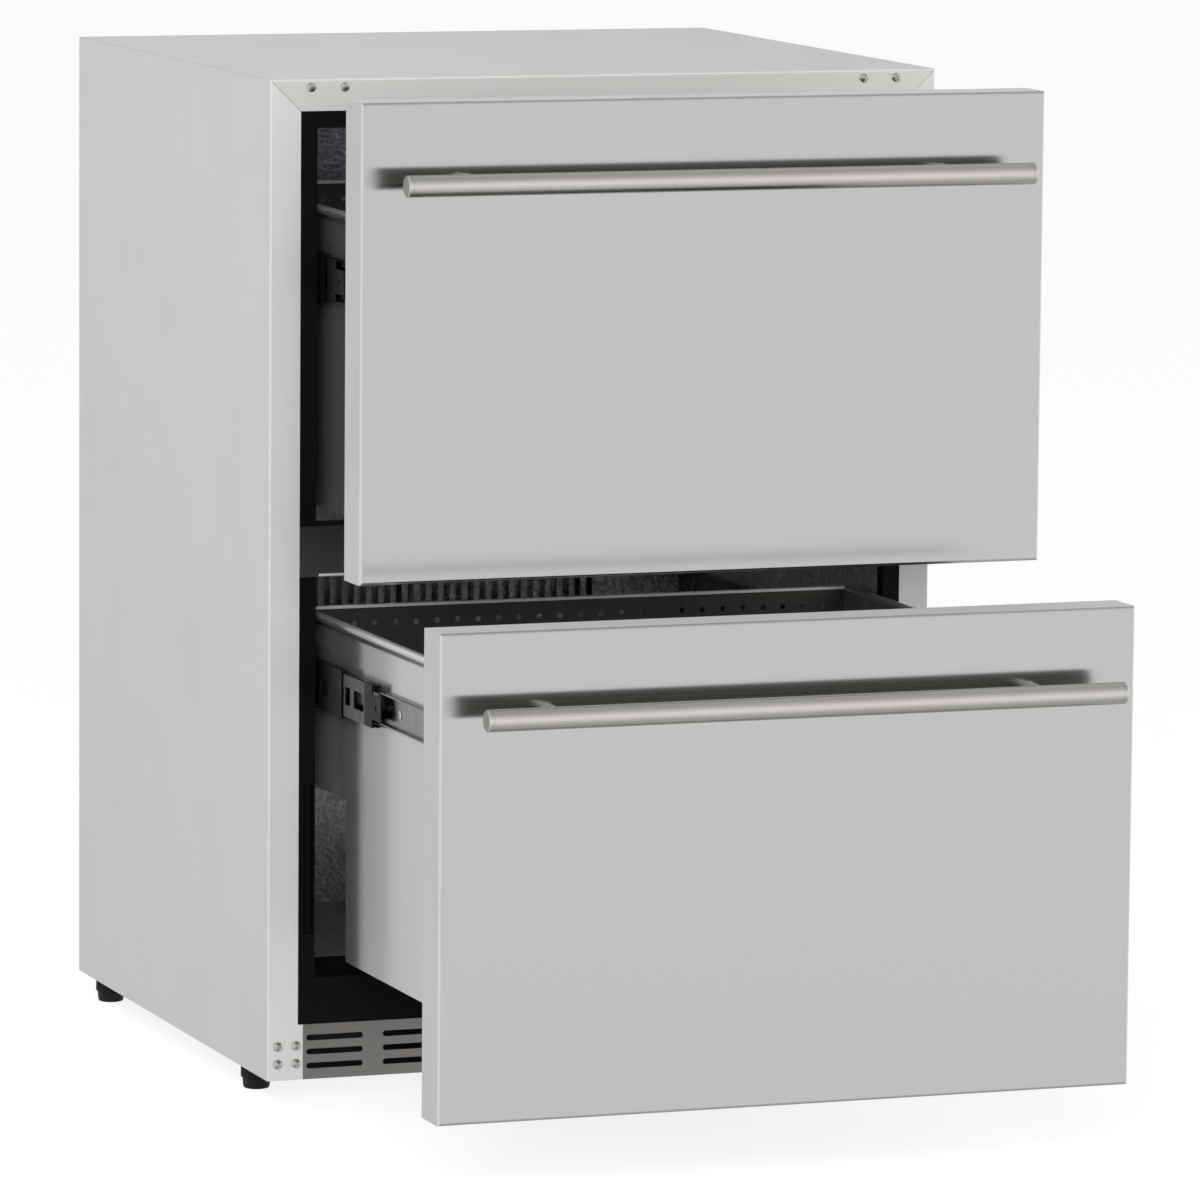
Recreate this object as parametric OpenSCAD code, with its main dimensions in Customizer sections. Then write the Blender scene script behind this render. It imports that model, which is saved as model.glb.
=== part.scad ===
// Undercounter refrigerator with two full-width drawers, stored part way open.
// Millimetres. +X is to the right, +Y to the back and +Z up. The origin is on the floor, under the
// middle of the box that holds the cabinet and the opened drawers. Each module is drawn about the
// cabinet itself: y = 0 at the front of the steel frame, z = 0 at the lower edge of the steel shell.

/* [Cabinet] */
// Width of the steel cabinet
cab_w = 600; // [580:1:640]
// Depth of the steel cabinet
cab_d = 566; // [560:1:620]
// Height of the steel shell, without its feet
cab_h = 852; // [845:1:880]
// Thickness of the cabinet's steel sheet
sheet = 1.2; // [0.8:0.1:1.5]
// Width of the steel frame around the drawers
frame_w = 27; // [24:0.5:32]
// Extra width of the steel frame beside the kick grille
frame_tab = 4.5; // [2:0.5:6]
// Open line along each mitred corner of the frame
mitre_gap = 0.4; // [0.1:0.1:0.7]
// Outside radius of the shell's folded edges
fold_r = 2; // [1.5:0.1:2.5]

/* [Insulated compartment] */
// Side wall, from the outside of the shell to the compartment
wall_t = 42; // [40:1:46]
// Roof, from the top of the shell to the compartment
roof_t = 41.5; // [38:0.5:50]
// Back wall, from the back of the shell to the compartment
back_t = 44; // [42:1:50]
// Height of the compartment's floor
floor_z = 86; // [80:1:92]
// Thickness of the embossed liner
liner_t = 1.2; // [0.8:0.1:1.5]
// Depth of the black frame that joins the shell and the liner
breaker_d = 12.8; // [10:0.1:16]
// Depth of the threshold plate over the front of the floor
threshold_d = 97; // [60:1:140]
// Height of the shallow pocket in each leg of the black frame
pocket_h = 128; // [60:1:150]
// From the compartment's floor to that pocket
pocket_lift = 39; // [20:1:60]

/* [Compressor hump] */
// Front of the hump in the compartment
hump_y = 370; // [360:1:372]
// Top of the hump in the compartment
hump_z = 238; // [230:1:238]
// Foam between the hump and the machine compartment
hump_foam = 28.8; // [20:0.1:30]

/* [Kick grille] */
// Height of the grille
grille_h = 47.4; // [44:0.2:52]
// Length of one air slot
slot_len = 50.6; // [30:0.2:60]
// Height of one air slot
slot_h = 5; // [3:0.5:8]
// Distance between slot columns
slot_pitch_x = 68.6; // [63:0.2:72]
// Distance between slot rows
slot_pitch_z = 12.1; // [9:0.1:13]
// Depth of the folded lips along the grille
grille_lip = 10; // [5:1:12]

/* [Middle rail] */
// Lower edge of the rail between the drawers
rail_z = 431; // [424:1:436]
// Height of the rail
rail_h = 43; // [36:1:48]
// Depth of the rail
rail_d = 38; // [30:1:60]

/* [Drawer fronts] */
// Width of the drawer fronts
front_w = 600; // [590:1:604]
// Thickness of the drawer fronts
front_t = 40; // [34:1:46]
// From the top of the shell to the upper front
front_top_gap = 2.6; // [1:0.2:5]
// Height of the rail that the upper front covers
upper_cover = 19; // [15:0.5:20]
// Height of the rail that the lower front covers
lower_cover = 11.4; // [9:0.2:13]
// Height of the grille that the lower front covers
grille_cover = 2.4; // [1:0.2:4]
// Thickness of the stainless skin
skin_t = 1; // [0.8:0.1:1.5]
// Radius along the front edges of the skin
edge_r = 2.5; // [2:0.1:4]
// Thickness of the plastic panel on the back of each front
inner_t = 2; // [1.5:0.1:3]
// Space between a closed front and the frame
gasket_gap = 5; // [4:0.1:8]
// Width of the gasket
gasket_w = 9; // [7:0.5:10]
// Distance of the gasket from the sides and the bottom of its front
gasket_inset = 9; // [8:0.5:12]
// Distance of the lower gasket from the top of the lower front
lower_gasket_inset = 1.5; // [1:0.5:3]

/* [Drawers] */
// How far the upper drawer is open
upper_open = 198; // [100:1:400]
// How far the lower drawer is open
lower_open = 403; // [200:1:415]
// From the top of the rail to the bottom of the upper drawer box
upper_box_lift = 13; // [9:0.5:40]
// From the compartment's roof to the top of the upper drawer box
upper_box_drop = 66.5; // [50:0.5:90]
// From the compartment's floor to the bottom of the lower drawer box
lower_box_lift = 22; // [15:0.5:40]
// From the top of the lower drawer box to the rail
lower_box_drop = 33; // [20:0.5:50]
// Sheet thickness of the drawer boxes
box_t = 1.2; // [0.8:0.1:1.6]
// Diameter of the rolled edge along the top of a drawer box
bead_d = 8; // [6:0.5:9]
// Space between a closed drawer box and the air duct cover
box_rear_gap = 20; // [12:1:30]
// Space in front of the hump when the lower drawer is closed
hump_gap_y = 12; // [8:1:25]
// Space above the hump under the lower drawer box
hump_gap_z = 8; // [5:1:20]
// Diameter of the air holes along the back of a drawer box
vent_d = 5; // [3:0.5:7]
// Distance between the air holes
vent_pitch = 18.7; // [12:0.1:25]

/* [Slides] */
// Space between the compartment wall and a drawer box
slide_t = 12.7; // [12.7:0.1:14]
// Height of the outer member
slide_h = 45; // [44:0.5:48]
// Sheet thickness of the slide members
slide_sheet = 1.2; // [1:0.1:1.4]
// Length of every member
slide_len = 420; // [400:1:420]
// Distance from the steel frame to the slides
slide_front = 40; // [35:1:55]
// From the top of a drawer box to the middle of its slides
slide_drop = 59; // [40:1:75]
// Space between the flanges that the outer balls roll in
outer_ball_gap = 3.5; // [3.2:0.1:4]
// Space between the flanges that the inner balls roll in
inner_ball_gap = 3; // [2.8:0.1:3.4]
// Depth of each ball groove
groove_depth = 0.5; // [0.3:0.05:0.6]
// Clearance around a ball in its grooves
ball_clear = 0.25; // [0.2:0.01:0.35]
// Length of a cage between the outer and the middle member
outer_cage_len = 260; // [200:1:280]
// Length of a cage between the middle and the inner member
inner_cage_len = 120; // [100:1:160]
// Balls in one row of an outer cage
outer_balls = 6; // [3:1:6]
// Balls in one row of an inner cage
inner_balls = 4; // [3:1:6]
// Length of the plastic end block that fills the middle member
stop_len = 20; // [15:1:30]
// Length of the tongue in front of the end block
tongue_len = 23; // [15:1:30]

/* [Handles] */
// Diameter of the handle bar
handle_d = 18; // [14:0.5:24]
// Length of the handle bar
handle_len = 550; // [480:1:580]
// Distance from the front to the middle of the bar
handle_standoff = 40; // [30:1:50]
// Distance from the top of the front to the middle of the bar
handle_drop = 65; // [50:1:90]
// Diameter of the handle posts
post_d = 11; // [9:0.5:14]
// Distance between the handle posts
post_spacing = 418; // [300:1:460]

/* [Feet] */
// Height of the feet when they are screwed in
foot_h = 20; // [16:1:30]
// Diameter of a foot
foot_d = 27; // [22:1:28]
// Distance from the side of the shell to the middle of a foot
foot_inset = 15; // [14.5:0.5:30]
// Distance from the steel frame to the front feet
foot_front = 78; // [50:1:120]
// Distance from the back of the shell to the back feet
foot_back = 51; // [35:1:80]
// Diameter of the levelling studs
stud_d = 8; // [6:1:10]
// Length of a stud above its foot
stud_len = 30; // [26:1:40]

/* [Cold air] */
// Distance between the upright air slots
duct_pitch = 11.5; // [9:0.1:16]
// Width of one air slot
duct_slot_w = 6; // [3:0.5:7]
// Height of one air slot
duct_slot_h = 45; // [20:1:60]
// From the top of the hump to the middle of the row of air slots
duct_slot_lift = 114; // [90:1:118]
// Width of the row of air slots
duct_row_w = 330; // [200:1:440]
// Half the width of the duct cover
duct_half = 248; // [225:1:252]
// Space between the duct cover and the back of the liner
duct_d = 42; // [40:1:44]
// Radius of the evaporator fan
cold_fan_r = 50; // [40:1:56]
// From the top of the duct cover to the evaporator fan's shaft
cold_fan_drop = 118; // [70:1:130]

/* [Machinery] */
// Radius of the compressor
comp_r = 60; // [50:1:62]
// Height of the compressor's body
comp_h = 140; // [120:1:145]
// Radius of the condenser fan
hot_fan_r = 54; // [40:1:56]

/* [Fasteners] */
// Radius of the pan heads
pan_r = 4; // [3:0.1:4]
// Height of the pan heads
pan_h = 2.2; // [1.5:0.1:3]
// Radius of the screw shanks
shank_r = 2; // [1.5:0.1:2.2]
// Clearance around a shank in its hole
shank_clear = 0.2; // [0.1:0.05:0.4]

/* [Hidden] */
$fn = 64;
eps = 0.5;                               // overlap of a cutting tool beyond the face that it cuts

// Colours, as the object shows them
STEEL = [0.77, 0.77, 0.75];
DARK_STEEL = [0.52, 0.51, 0.49];
GALVANISED = [0.66, 0.68, 0.70];
STUCCO = [0.55, 0.56, 0.58];
BLACK = [0.06, 0.06, 0.06];
GREY = [0.45, 0.45, 0.46];
COPPER = [0.72, 0.45, 0.30];
FOAM = [0.93, 0.90, 0.78];
PALE = [0.74, 0.75, 0.76];
WHITE = [0.90, 0.92, 0.95];

// Cabinet
half_w = cab_w / 2;
inside_w = half_w - sheet;               // inner face of the side panels
in_half = half_w - wall_t;               // half the width of the compartment
in_top = cab_h - roof_t;
in_back = cab_d - back_t;
back_y = cab_d - sheet;                  // inner face of the back panel
breaker_y = sheet + breaker_d;           // back of the black frame, where foam and liner start
machine_y = hump_y + liner_t + hump_foam;   // front face of the machine compartment's wall
machine_z = hump_z - liner_t - hump_foam;   // top face of the machine compartment's roof
rail_top = rail_z + rail_h;
threshold_t = 1.2;
pocket_edge = 1.5;                       // between a pocket and the compartment
pocket_w = 8.5;
pocket_d = 6;
pan_flange = 20;                         // turned up sides of the base pan
rear_lip = 18;                           // turned edges that the rear cover is screwed to
reach_front = lower_open + gasket_gap + front_t + handle_standoff + handle_d / 2;
mid_y = (cab_d + pan_h - reach_front) / 2;

// Slides, measured from the compartment wall and from the middle of the slide
slide_half = slide_h / 2;
web_gap = 2.7;                           // between the webs of the outer and the middle member
mid_web = slide_sheet + web_gap;
mid_half = slide_half - slide_sheet - outer_ball_gap;
inner_half = mid_half - slide_sheet - inner_ball_gap;
outer_ball_x = mid_web + 2.5;
inner_ball_x = slide_t - 2.9;
outer_flange = outer_ball_x + 2.8;
mid_flange = slide_t - 1.1;
inner_flange = slide_t - 4.7;
outer_ball_z = mid_half + outer_ball_gap / 2;
inner_ball_z = inner_half + inner_ball_gap / 2;
outer_groove_r = outer_ball_gap / 2 + groove_depth;
inner_groove_r = inner_ball_gap / 2 + groove_depth;
cage_t = 0.6;                            // sheet of a cage's web
cage_air = 0.6;                          // between a cage's web and the middle member
strip_t = 1.3;                           // strip that holds the balls
tongue_half = 10.3;                      // half the height of the end block's tongue
low_head_h = 1.2;                        // heads of the slide screws
slide_back = slide_front + slide_len;
stop_front = slide_front + tongue_len;   // front of the end block, behind its tongue
mid_front = stop_front + stop_len;       // front end of the middle member's steel
inner_cage_y = slide_back - 100 - inner_cage_len;   // front of a closed inner cage
wall_screw_y = [70, 240, 430];
drawer_screw_y = [75, 213, 400];

// Drawer boxes
upper_box = [rail_top + upper_box_lift, in_top - upper_box_drop];
lower_box = [floor_z + lower_box_lift, rail_z - lower_box_drop];
upper_slide_z = upper_box[1] - slide_drop;
lower_slide_z = lower_box[1] - slide_drop;
box_half = in_half - slide_t;
duct_y = in_back - duct_d;               // front of the air duct cover
box_back = duct_y - box_rear_gap;
step_y = hump_y - hump_gap_y;
step_z = hump_z + hump_gap_z;
bead_r = bead_d / 2;
seam = 0.1;                              // open line between two sheets of a drawer box
box_screw_x = 200;
box_screw_inset = 40;

// Fronts, closed
front_back = -gasket_gap;
front_face = front_back - front_t;
handle_y = front_face - handle_standoff;
upper_front_z = rail_top - upper_cover;
upper_front_h = cab_h - front_top_gap - upper_front_z;
lower_front_z = grille_h - grille_cover;
lower_front_h = rail_z + lower_cover - lower_front_z;
cap_len = 4;                             // end caps of the handle bar
handle_screw_r = 2.5;
handle_screw_len = 10;
handle_head_r = 5;
handle_head_h = 3;

// Screw places
top_screws = [for (s = [-1, 1], x = [234.5, 264]) [s * (x - 300 + half_w), cab_h - 7]];
corner_screws = [for (s = [-1, 1], x = [9.1, 25.4], z = [14.2, 29.5]) [s * (half_w - x), z]];
rear_low_z = sheet + rear_lip / 2;
rear_high_z = machine_z - sheet - rear_lip / 2;
rear_screws = [for (x = [-275, 0, 275], z = [rear_low_z, rear_high_z]) [x * cab_w / 600, z]];
wall_screws = [for (s = [-1, 1], z = [upper_slide_z, lower_slide_z], y = wall_screw_y) [s, y, z]];

// Feet and their weld nuts
nut_r = 8;
nut_h = 12;
stud_clear = 0.05;
foot_seat = 0.3;                         // between a foot and the underside of the shell
foot_x = half_w - foot_inset;
foot_back_y = cab_d - foot_back;

// Refrigeration
chase = [194, 543.5];                    // x and y of the shaft in the foam for the two tubes
chase_r = 14;
duct_top = in_top - 12.5;
duct_slot_z = hump_z + duct_slot_lift;
cold_fan_z = duct_top - cold_fan_drop;
coil_z = cold_fan_z - 255;               // lowest tube row of the evaporator
suction_x = 190;
capillary_x = 200;
suction_r = 4;
capillary_r = 1.5;
pipe_bend = 12;                          // radius of the bends, at the middle of the tube
capillary_bend = 8;
drier_x = -90;
drier_z = 190;
drier_len = 80;
drain_y = 500;
drain_r = 7;
drain_clear = 0.2;
trough_z = coil_z - 39;
trough_h = 14;
trough_half = 165;
trough_t = 2;
drain_end_z = 40;                        // lower end of the drain tube, above the drip tray
light_half = 70;
light_d = 36;
light_h = 9;
light_gap = 56;                          // between the light and the back of the liner
comp_x = 150;
comp_y = 482;
comp_plate_z = sheet + 11.8;             // underside of the compressor's base plate
comp_plate_t = 2;
comp_foot = [62, 44];
comp_top = comp_plate_z + comp_plate_t + comp_h;
grommet_r = 6;
control_d = 46;
control_w = 100;
control_h = 130;
control_z = 60;
control_front = 15;                      // from the machine compartment's wall
lid_t = 2;
drip_x = [-80, 60];
drip_h = 30;
drip_front = 30;
drip_back = 16;
cond_x = -220;
cond_y = 483;
cond_z = 20;
cond_w = 104;
cond_h = 130;
cond_port = 40;
shroud_x = -178;
shroud_ring = 16;
bridge_gap = 34;                         // from the shroud's plate to the motor's bridge
motor_r = 26;
motor_len = 28;
hot_fan_y = cond_y;
hot_fan_z = 75;
shaft_clear = 0.05;
cold_shaft_r = 1.5;
hot_shaft_r = 2;
inlet_x = 235;
inlet_z = 120;
inlet_size = [28, 22];

// ---- placing ----

// a span of a given size about a place, and one that starts there
function about(at, size) = [at - size / 2, at + size / 2];
function from(at, size) = [at, at + size];

module in_frame() translate([0, -mid_y, foot_h]) children();

module opened(by) in_frame() translate([0, -by, 0]) children();

module both_sides() for (m = [0, 1]) mirror([m, 0, 0]) children();

// ---- shapes ----

module block(x, y, z) translate([x[0], y[0], z[0]]) cube([x[1] - x[0], y[1] - y[0], z[1] - z[0]]);

// an outline drawn in y and z, carried along x
module along_x(x) translate([x[0], 0, 0]) rotate([90, 0, 90]) linear_extrude(x[1] - x[0]) children();

// an outline drawn in x and z, carried along y
module along_y(y) translate([0, y[1], 0]) rotate([90, 0, 0]) linear_extrude(y[1] - y[0]) children();

module pane(x, z) translate([x[0], z[0]]) square([x[1] - x[0], z[1] - z[0]]);

module rounded_pane(x, z, r) {
    pane([x[0] + r, x[1] - r], z);
    pane(x, [z[0] + r, z[1] - r]);
    for (cx = [x[0] + r, x[1] - r], cz = [z[0] + r, z[1] - r])
        translate([cx, cz]) circle(r);
}

// a slot with round ends, lying along x or standing along z
module slot(length, width, upright = false) rotate(upright ? 90 : 0) {
    square([length - width, width], center = true);
    for (s = [-1, 1])
        translate([s * (length - width) / 2, 0]) circle(width / 2);
}

// a tube through a list of points, with a true bend at each corner
module tube(points, r, bend) {
    $fn = 20;
    last = len(points) - 1;
    runs = [for (i = [1 : last]) points[i] - points[i - 1]];
    way = [for (v = runs) v / norm(v)];
    turn = [for (i = [1 : last - 1]) acos(way[i - 1] * way[i])];
    cut = [0, for (a = turn) bend * tan(a / 2), 0];
    for (i = [0 : last - 1])
        translate(points[i] + way[i] * cut[i]) rotate([0, acos(way[i][2]), atan2(way[i][1], way[i][0])])
            cylinder(r = r, h = norm(runs[i]) - cut[i] - cut[i + 1]);
    for (i = [1 : last - 1]) {
        inward = way[i] - way[i - 1];
        middle = points[i] + inward / norm(inward) * bend / cos(turn[i - 1] / 2);
        x = (points[i] - way[i - 1] * cut[i] - middle) / bend;
        y = way[i - 1];
        z = cross(x, y);
        multmatrix([[x[0], y[0], z[0], middle[0]], [x[1], y[1], z[1], middle[1]],
                    [x[2], y[2], z[2], middle[2]]])
            rotate_extrude(angle = turn[i - 1]) translate([bend, 0]) circle(r);
    }
}

// a screw on the plane z = 0 with a domed head above it and its shank below
module screw(head_r, head_h, r, length) {
    dome_r = 0.6 * (head_r * head_r / head_h + head_h);
    intersection() {
        cylinder(r = head_r, h = head_h);
        translate([0, 0, head_h - dome_r]) sphere(dome_r);
    }
    translate([0, 0, -length]) cylinder(r = r, h = length + eps / 5);
}

module facing_front(at, y) translate([at[0], y, at[1]]) rotate([90, 0, 0]) children();

module facing_back(at, y) translate([at[0], y, at[1]]) rotate([-90, 0, 0]) children();

module hole_y(at, y, r) facing_back(at, y[0]) cylinder(r = r, h = y[1] - y[0]);

// ---- cabinet ----

// the slivers that a folded edge of the shell leaves off a sharp corner
module upright_folds() both_sides() difference() {
    block([-half_w - eps, -half_w + fold_r], [-eps, fold_r], [-eps, cab_h + eps]);
    translate([-half_w + fold_r, fold_r, -2 * eps]) cylinder(r = fold_r, h = cab_h + 4 * eps);
}

module top_fold() difference() {
    block([-half_w - eps, half_w + eps], [-eps, fold_r], [cab_h - fold_r, cab_h + eps]);
    translate([-half_w - 2 * eps, fold_r, cab_h - fold_r]) rotate([0, 90, 0])
        cylinder(r = fold_r, h = cab_w + 4 * eps);
}

module side_panel() difference() {
    union() {
        block([-half_w, -inside_w], [0, cab_d], [0, cab_h - sheet]);
        along_y([0, sheet]) polygon([
            [-half_w, 0],
            [-half_w + frame_w + frame_tab, 0],
            [-half_w + frame_w + frame_tab, grille_h],
            [-half_w + frame_w, grille_h],
            [-half_w + frame_w, cab_h - frame_w - mitre_gap],
            [-half_w + sheet - mitre_gap, cab_h - sheet],
            [-half_w, cab_h - sheet],
        ]);
    }
    upright_folds();
    for (at = corner_screws)
        hole_y(at, [-eps, sheet + eps], shank_r + shank_clear);
}

module cabinet_side_left() color(STEEL) in_frame() side_panel();

module cabinet_side_right() color(STEEL) in_frame() mirror([1, 0, 0]) side_panel();

module cabinet_top() color(STEEL) in_frame() difference() {
    union() {
        block([-half_w, half_w], [0, cab_d], [cab_h - sheet, cab_h]);
        along_y([0, sheet]) polygon([
            [-inside_w, cab_h - sheet],
            [-half_w + frame_w, cab_h - frame_w],
            [half_w - frame_w, cab_h - frame_w],
            [inside_w, cab_h - sheet],
        ]);
    }
    upright_folds();
    top_fold();
    for (at = top_screws)
        hole_y(at, [-eps, sheet + eps], shank_r + shank_clear);
}

module cabinet_back() color(GALVANISED) in_frame()
    block([-inside_w, inside_w], [back_y, cab_d], [machine_z, cab_h - sheet]);

module foot_places() for (s = [-1, 1], y = [foot_front, foot_back_y])
    translate([s * foot_x, y, 0]) children();

module base_pan() color(GALVANISED) in_frame() difference() {
    union() {
        block([-inside_w, inside_w], [breaker_y, back_y], [0, sheet]);
        both_sides() block([-inside_w, -inside_w + sheet], [breaker_y, back_y], [0, sheet + pan_flange]);
        block([-inside_w, inside_w], [back_y - sheet, back_y], [0, sheet + rear_lip]);
        foot_places() cylinder(r = nut_r, h = sheet + nut_h);
    }
    foot_places() translate([0, 0, -eps]) cylinder(r = stud_d / 2 + stud_clear, h = sheet + nut_h + 2 * eps);
    for (at = rear_screws)
        hole_y(at, [back_y - sheet - eps, back_y + eps], shank_r + shank_clear);
}

// the folded sheet under the foam: air duct roof, hump wall and roof of the machine compartment
module compartment_plate() color(GALVANISED) in_frame() difference() {
    along_x([-inside_w, inside_w]) polygon([
        [breaker_y, grille_h - sheet],
        [breaker_y, grille_h],
        [machine_y, grille_h],
        [machine_y, machine_z],
        [back_y, machine_z],
        [back_y, machine_z - sheet - rear_lip],
        [back_y - sheet, machine_z - sheet - rear_lip],
        [back_y - sheet, machine_z - sheet],
        [machine_y + sheet, machine_z - sheet],
        [machine_y + sheet, grille_h - sheet],
    ]);
    for (at = rear_screws)
        hole_y(at, [back_y - sheet - eps, back_y + eps], shank_r + shank_clear);
    translate([chase[0], chase[1], machine_z - sheet - eps]) cylinder(r = chase_r, h = sheet + 2 * eps);
    translate([0, drain_y, machine_z - sheet - eps])
        cylinder(r = drain_r + drain_clear, h = sheet + 2 * eps);
}

// side outline of the compartment, grown by t
module compartment_outline(t, front) polygon([
    [front, floor_z - t],
    [hump_y + t, floor_z - t],
    [hump_y + t, hump_z - t],
    [in_back + t, hump_z - t],
    [in_back + t, in_top + t],
    [front, in_top + t],
]);

module cabinet_foam() color(FOAM) in_frame() difference() {
    along_x([-inside_w, inside_w]) polygon([
        [breaker_y, grille_h],
        [machine_y, grille_h],
        [machine_y, machine_z],
        [back_y, machine_z],
        [back_y, cab_h - sheet],
        [breaker_y, cab_h - sheet],
    ]);
    along_x([-in_half - liner_t, in_half + liner_t]) compartment_outline(liner_t, breaker_y - eps);
    translate([chase[0], chase[1], machine_z - eps]) cylinder(r = chase_r, h = coil_z - machine_z + eps);
    translate([chase[0], chase[1], coil_z]) sphere(chase_r);
    hole_y([chase[0], coil_z], [in_back, chase[1]], chase_r);
    translate([0, drain_y, machine_z - eps])
        cylinder(r = drain_r + drain_clear, h = hump_z - machine_z);
    for (p = wall_screws)
        translate([p[0] * (in_half + liner_t - eps), p[1], p[2]]) rotate([0, 90 * p[0], 0])
            cylinder(r = shank_r + shank_clear, h = 8 + eps);
    for (at = top_screws)
        hole_y(at, [breaker_y - eps, breaker_y + 2], shank_r + shank_clear);
}

module liner() color(STUCCO) in_frame() difference() {
    along_x([-in_half - liner_t, in_half + liner_t]) compartment_outline(liner_t, breaker_y);
    along_x([-in_half, in_half]) compartment_outline(0, breaker_y - eps);
    hole_y([chase[0], coil_z], [in_back - eps, in_back + liner_t + eps], chase_r);
    translate([0, drain_y, hump_z - liner_t - eps])
        cylinder(r = drain_r + drain_clear, h = liner_t + 2 * eps);
    for (p = wall_screws)
        translate([p[0] * (in_half - eps), p[1], p[2]]) rotate([0, 90 * p[0], 0])
            cylinder(r = shank_r + shank_clear, h = liner_t + 2 * eps);
}

// black moulding behind the steel frame: ring, sill and threshold plate in one piece
module breaker_frame() color(BLACK) in_frame() difference() {
    union() {
        along_y([sheet, breaker_y]) difference() {
            pane([-inside_w, inside_w], [grille_h, cab_h - sheet]);
            pane([-in_half, in_half], [floor_z + threshold_t, in_top]);
        }
        block([-in_half, in_half], [sheet, threshold_d], [floor_z, floor_z + threshold_t]);
    }
    both_sides() block(from(-in_half - pocket_edge - pocket_w, pocket_w), [0, sheet + pocket_d],
                       from(floor_z + pocket_lift, pocket_h));
    for (at = top_screws)
        hole_y(at, [-eps, breaker_y + eps], shank_r + shank_clear);
}

module middle_rail() color(DARK_STEEL) in_frame() {
    block([-half_w + frame_w, half_w - frame_w], [0, sheet], [rail_z, rail_top]);
    difference() {
        block([-in_half, in_half], [0, rail_d], [rail_z, rail_top]);
        block([-in_half - eps, in_half + eps], [sheet, rail_d - sheet],
              [rail_z + sheet, rail_top - sheet]);
    }
}

grille_half = half_w - frame_w - frame_tab;
module grille_slots() {
    columns = 2 * floor((grille_half - slot_len / 2 - slot_pitch_x / 2) / slot_pitch_x) + 2;
    for (i = [0 : columns - 1], k = [-1 : 1])
        translate([(i - (columns - 1) / 2) * slot_pitch_x, grille_h / 2 + k * slot_pitch_z])
            slot(slot_len, slot_h);
}

module kick_grille() color(DARK_STEEL) in_frame() difference() {
    union() {
        along_y([0, sheet]) difference() {
            pane([-grille_half, grille_half], [0, grille_h]);
            grille_slots();
        }
        for (z = [0, grille_h - sheet])
            block([-grille_half, grille_half], [0, grille_lip], [z, z + sheet]);
        // joggled ears behind the steel frame
        both_sides() block([-half_w + 4, -grille_half + 6], [sheet, 2 * sheet], [8, 36]);
        both_sides() block([-grille_half, -grille_half + 6], [0, 2 * sheet], [8, 36]);
    }
    for (at = corner_screws)
        hole_y(at, [-eps, 2 * sheet + eps], shank_r + shank_clear);
}

module frame_screws() color(STEEL) in_frame() {
    for (at = concat(top_screws, corner_screws))
        facing_front(at, 0) screw(pan_r, pan_h, shank_r, 8);
    for (at = rear_screws)
        facing_back(at, cab_d) screw(pan_r, pan_h, shank_r, 8);
}

module rear_cover() color(GALVANISED) in_frame() difference() {
    block([-inside_w, inside_w], [back_y, cab_d], [sheet, machine_z - sheet]);
    along_y([back_y - eps, cab_d + eps])
        for (i = [-8 : 3], k = [0 : 3])
            translate([i * 27, 48 + k * 36]) slot(24, 5, upright = true);
    block(about(inlet_x, inlet_size[0]), [back_y - eps, cab_d + eps], about(inlet_z, inlet_size[1]));
    for (at = rear_screws)
        hole_y(at, [back_y - eps, cab_d + eps], shank_r + shank_clear);
}

// ---- cold side ----

module fan_outlet() for (k = [-4 : 4]) {
    z = k * 11.5;
    translate([0, cold_fan_z + z]) slot(2 * sqrt(pow(cold_fan_r + 4, 2) - z * z), 6);
}

module air_duct_cover() color(STUCCO) in_frame() difference() {
    block([-duct_half, duct_half], [duct_y, in_back], [hump_z, duct_top]);
    block([-duct_half + sheet, duct_half - sheet], [duct_y + sheet, in_back + eps],
          [hump_z - eps, duct_top - sheet]);
    count = floor(duct_row_w / duct_pitch / 2);
    along_y([duct_y - eps, duct_y + sheet + eps]) {
        for (i = [-count : count])
            translate([i * duct_pitch, duct_slot_z])
                square([duct_slot_w, duct_slot_h], center = true);
        fan_outlet();
    }
}

// finned coil: tubes along x with return bends, seen from its middle
module coil(width, depth, height, fins, rows, r, column) {
    pitch = height / rows;
    fin_pitch = width / (fins - 1);
    for (i = [0 : fins - 1]) {
        t = (i == 0 || i == fins - 1) ? 1.6 : 0.6;
        translate([-width / 2 + i * fin_pitch, 0, 0]) cube([t, depth, height], center = true);
    }
    for (y = [-column, column], k = [0 : rows - 1]) {
        z = (k + 0.5) * pitch - height / 2;
        translate([-width / 2 - 3, y, z]) rotate([0, 90, 0])
            cylinder(r = r, h = width + 6);
        side = k % 2 == 0 ? -1 : 1;
        if (k < rows - 1)
            translate([side * (width / 2 + 3), y, z + pitch / 2]) rotate([90, 0, 0])
                rotate(side > 0 ? -90 : 90) rotate_extrude(angle = 180)
                    translate([pitch / 2, 0]) circle(r);
    }
    // bend that joins the two columns at the end of the top row
    translate([width / 2 + 3, 0, (height - pitch) / 2]) rotate(-90)
        rotate_extrude(angle = 180) translate([column, 0]) circle(r);
}

evap_w = 300;
evap_h = 152;
evap_y = in_back - 19;
module evaporator() color(GALVANISED) in_frame() {
    translate([0, evap_y, coil_z + evap_h / 2 - evap_h / 8])
        coil(evap_w, 28, evap_h, 19, 4, 4, 7);
    // inlet and outlet of the coil
    for (y = [-7, 7])
        translate([evap_w / 2, evap_y + y, coil_z]) rotate([0, 90, 0]) cylinder(r = 4, h = 15);
    // hanging brackets on the back of the liner
    for (x = [-evap_w / 2, evap_w / 2])
        block(about(x, 1.6), [evap_y + 13, in_back], from(coil_z + 60, 40));
}

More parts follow.
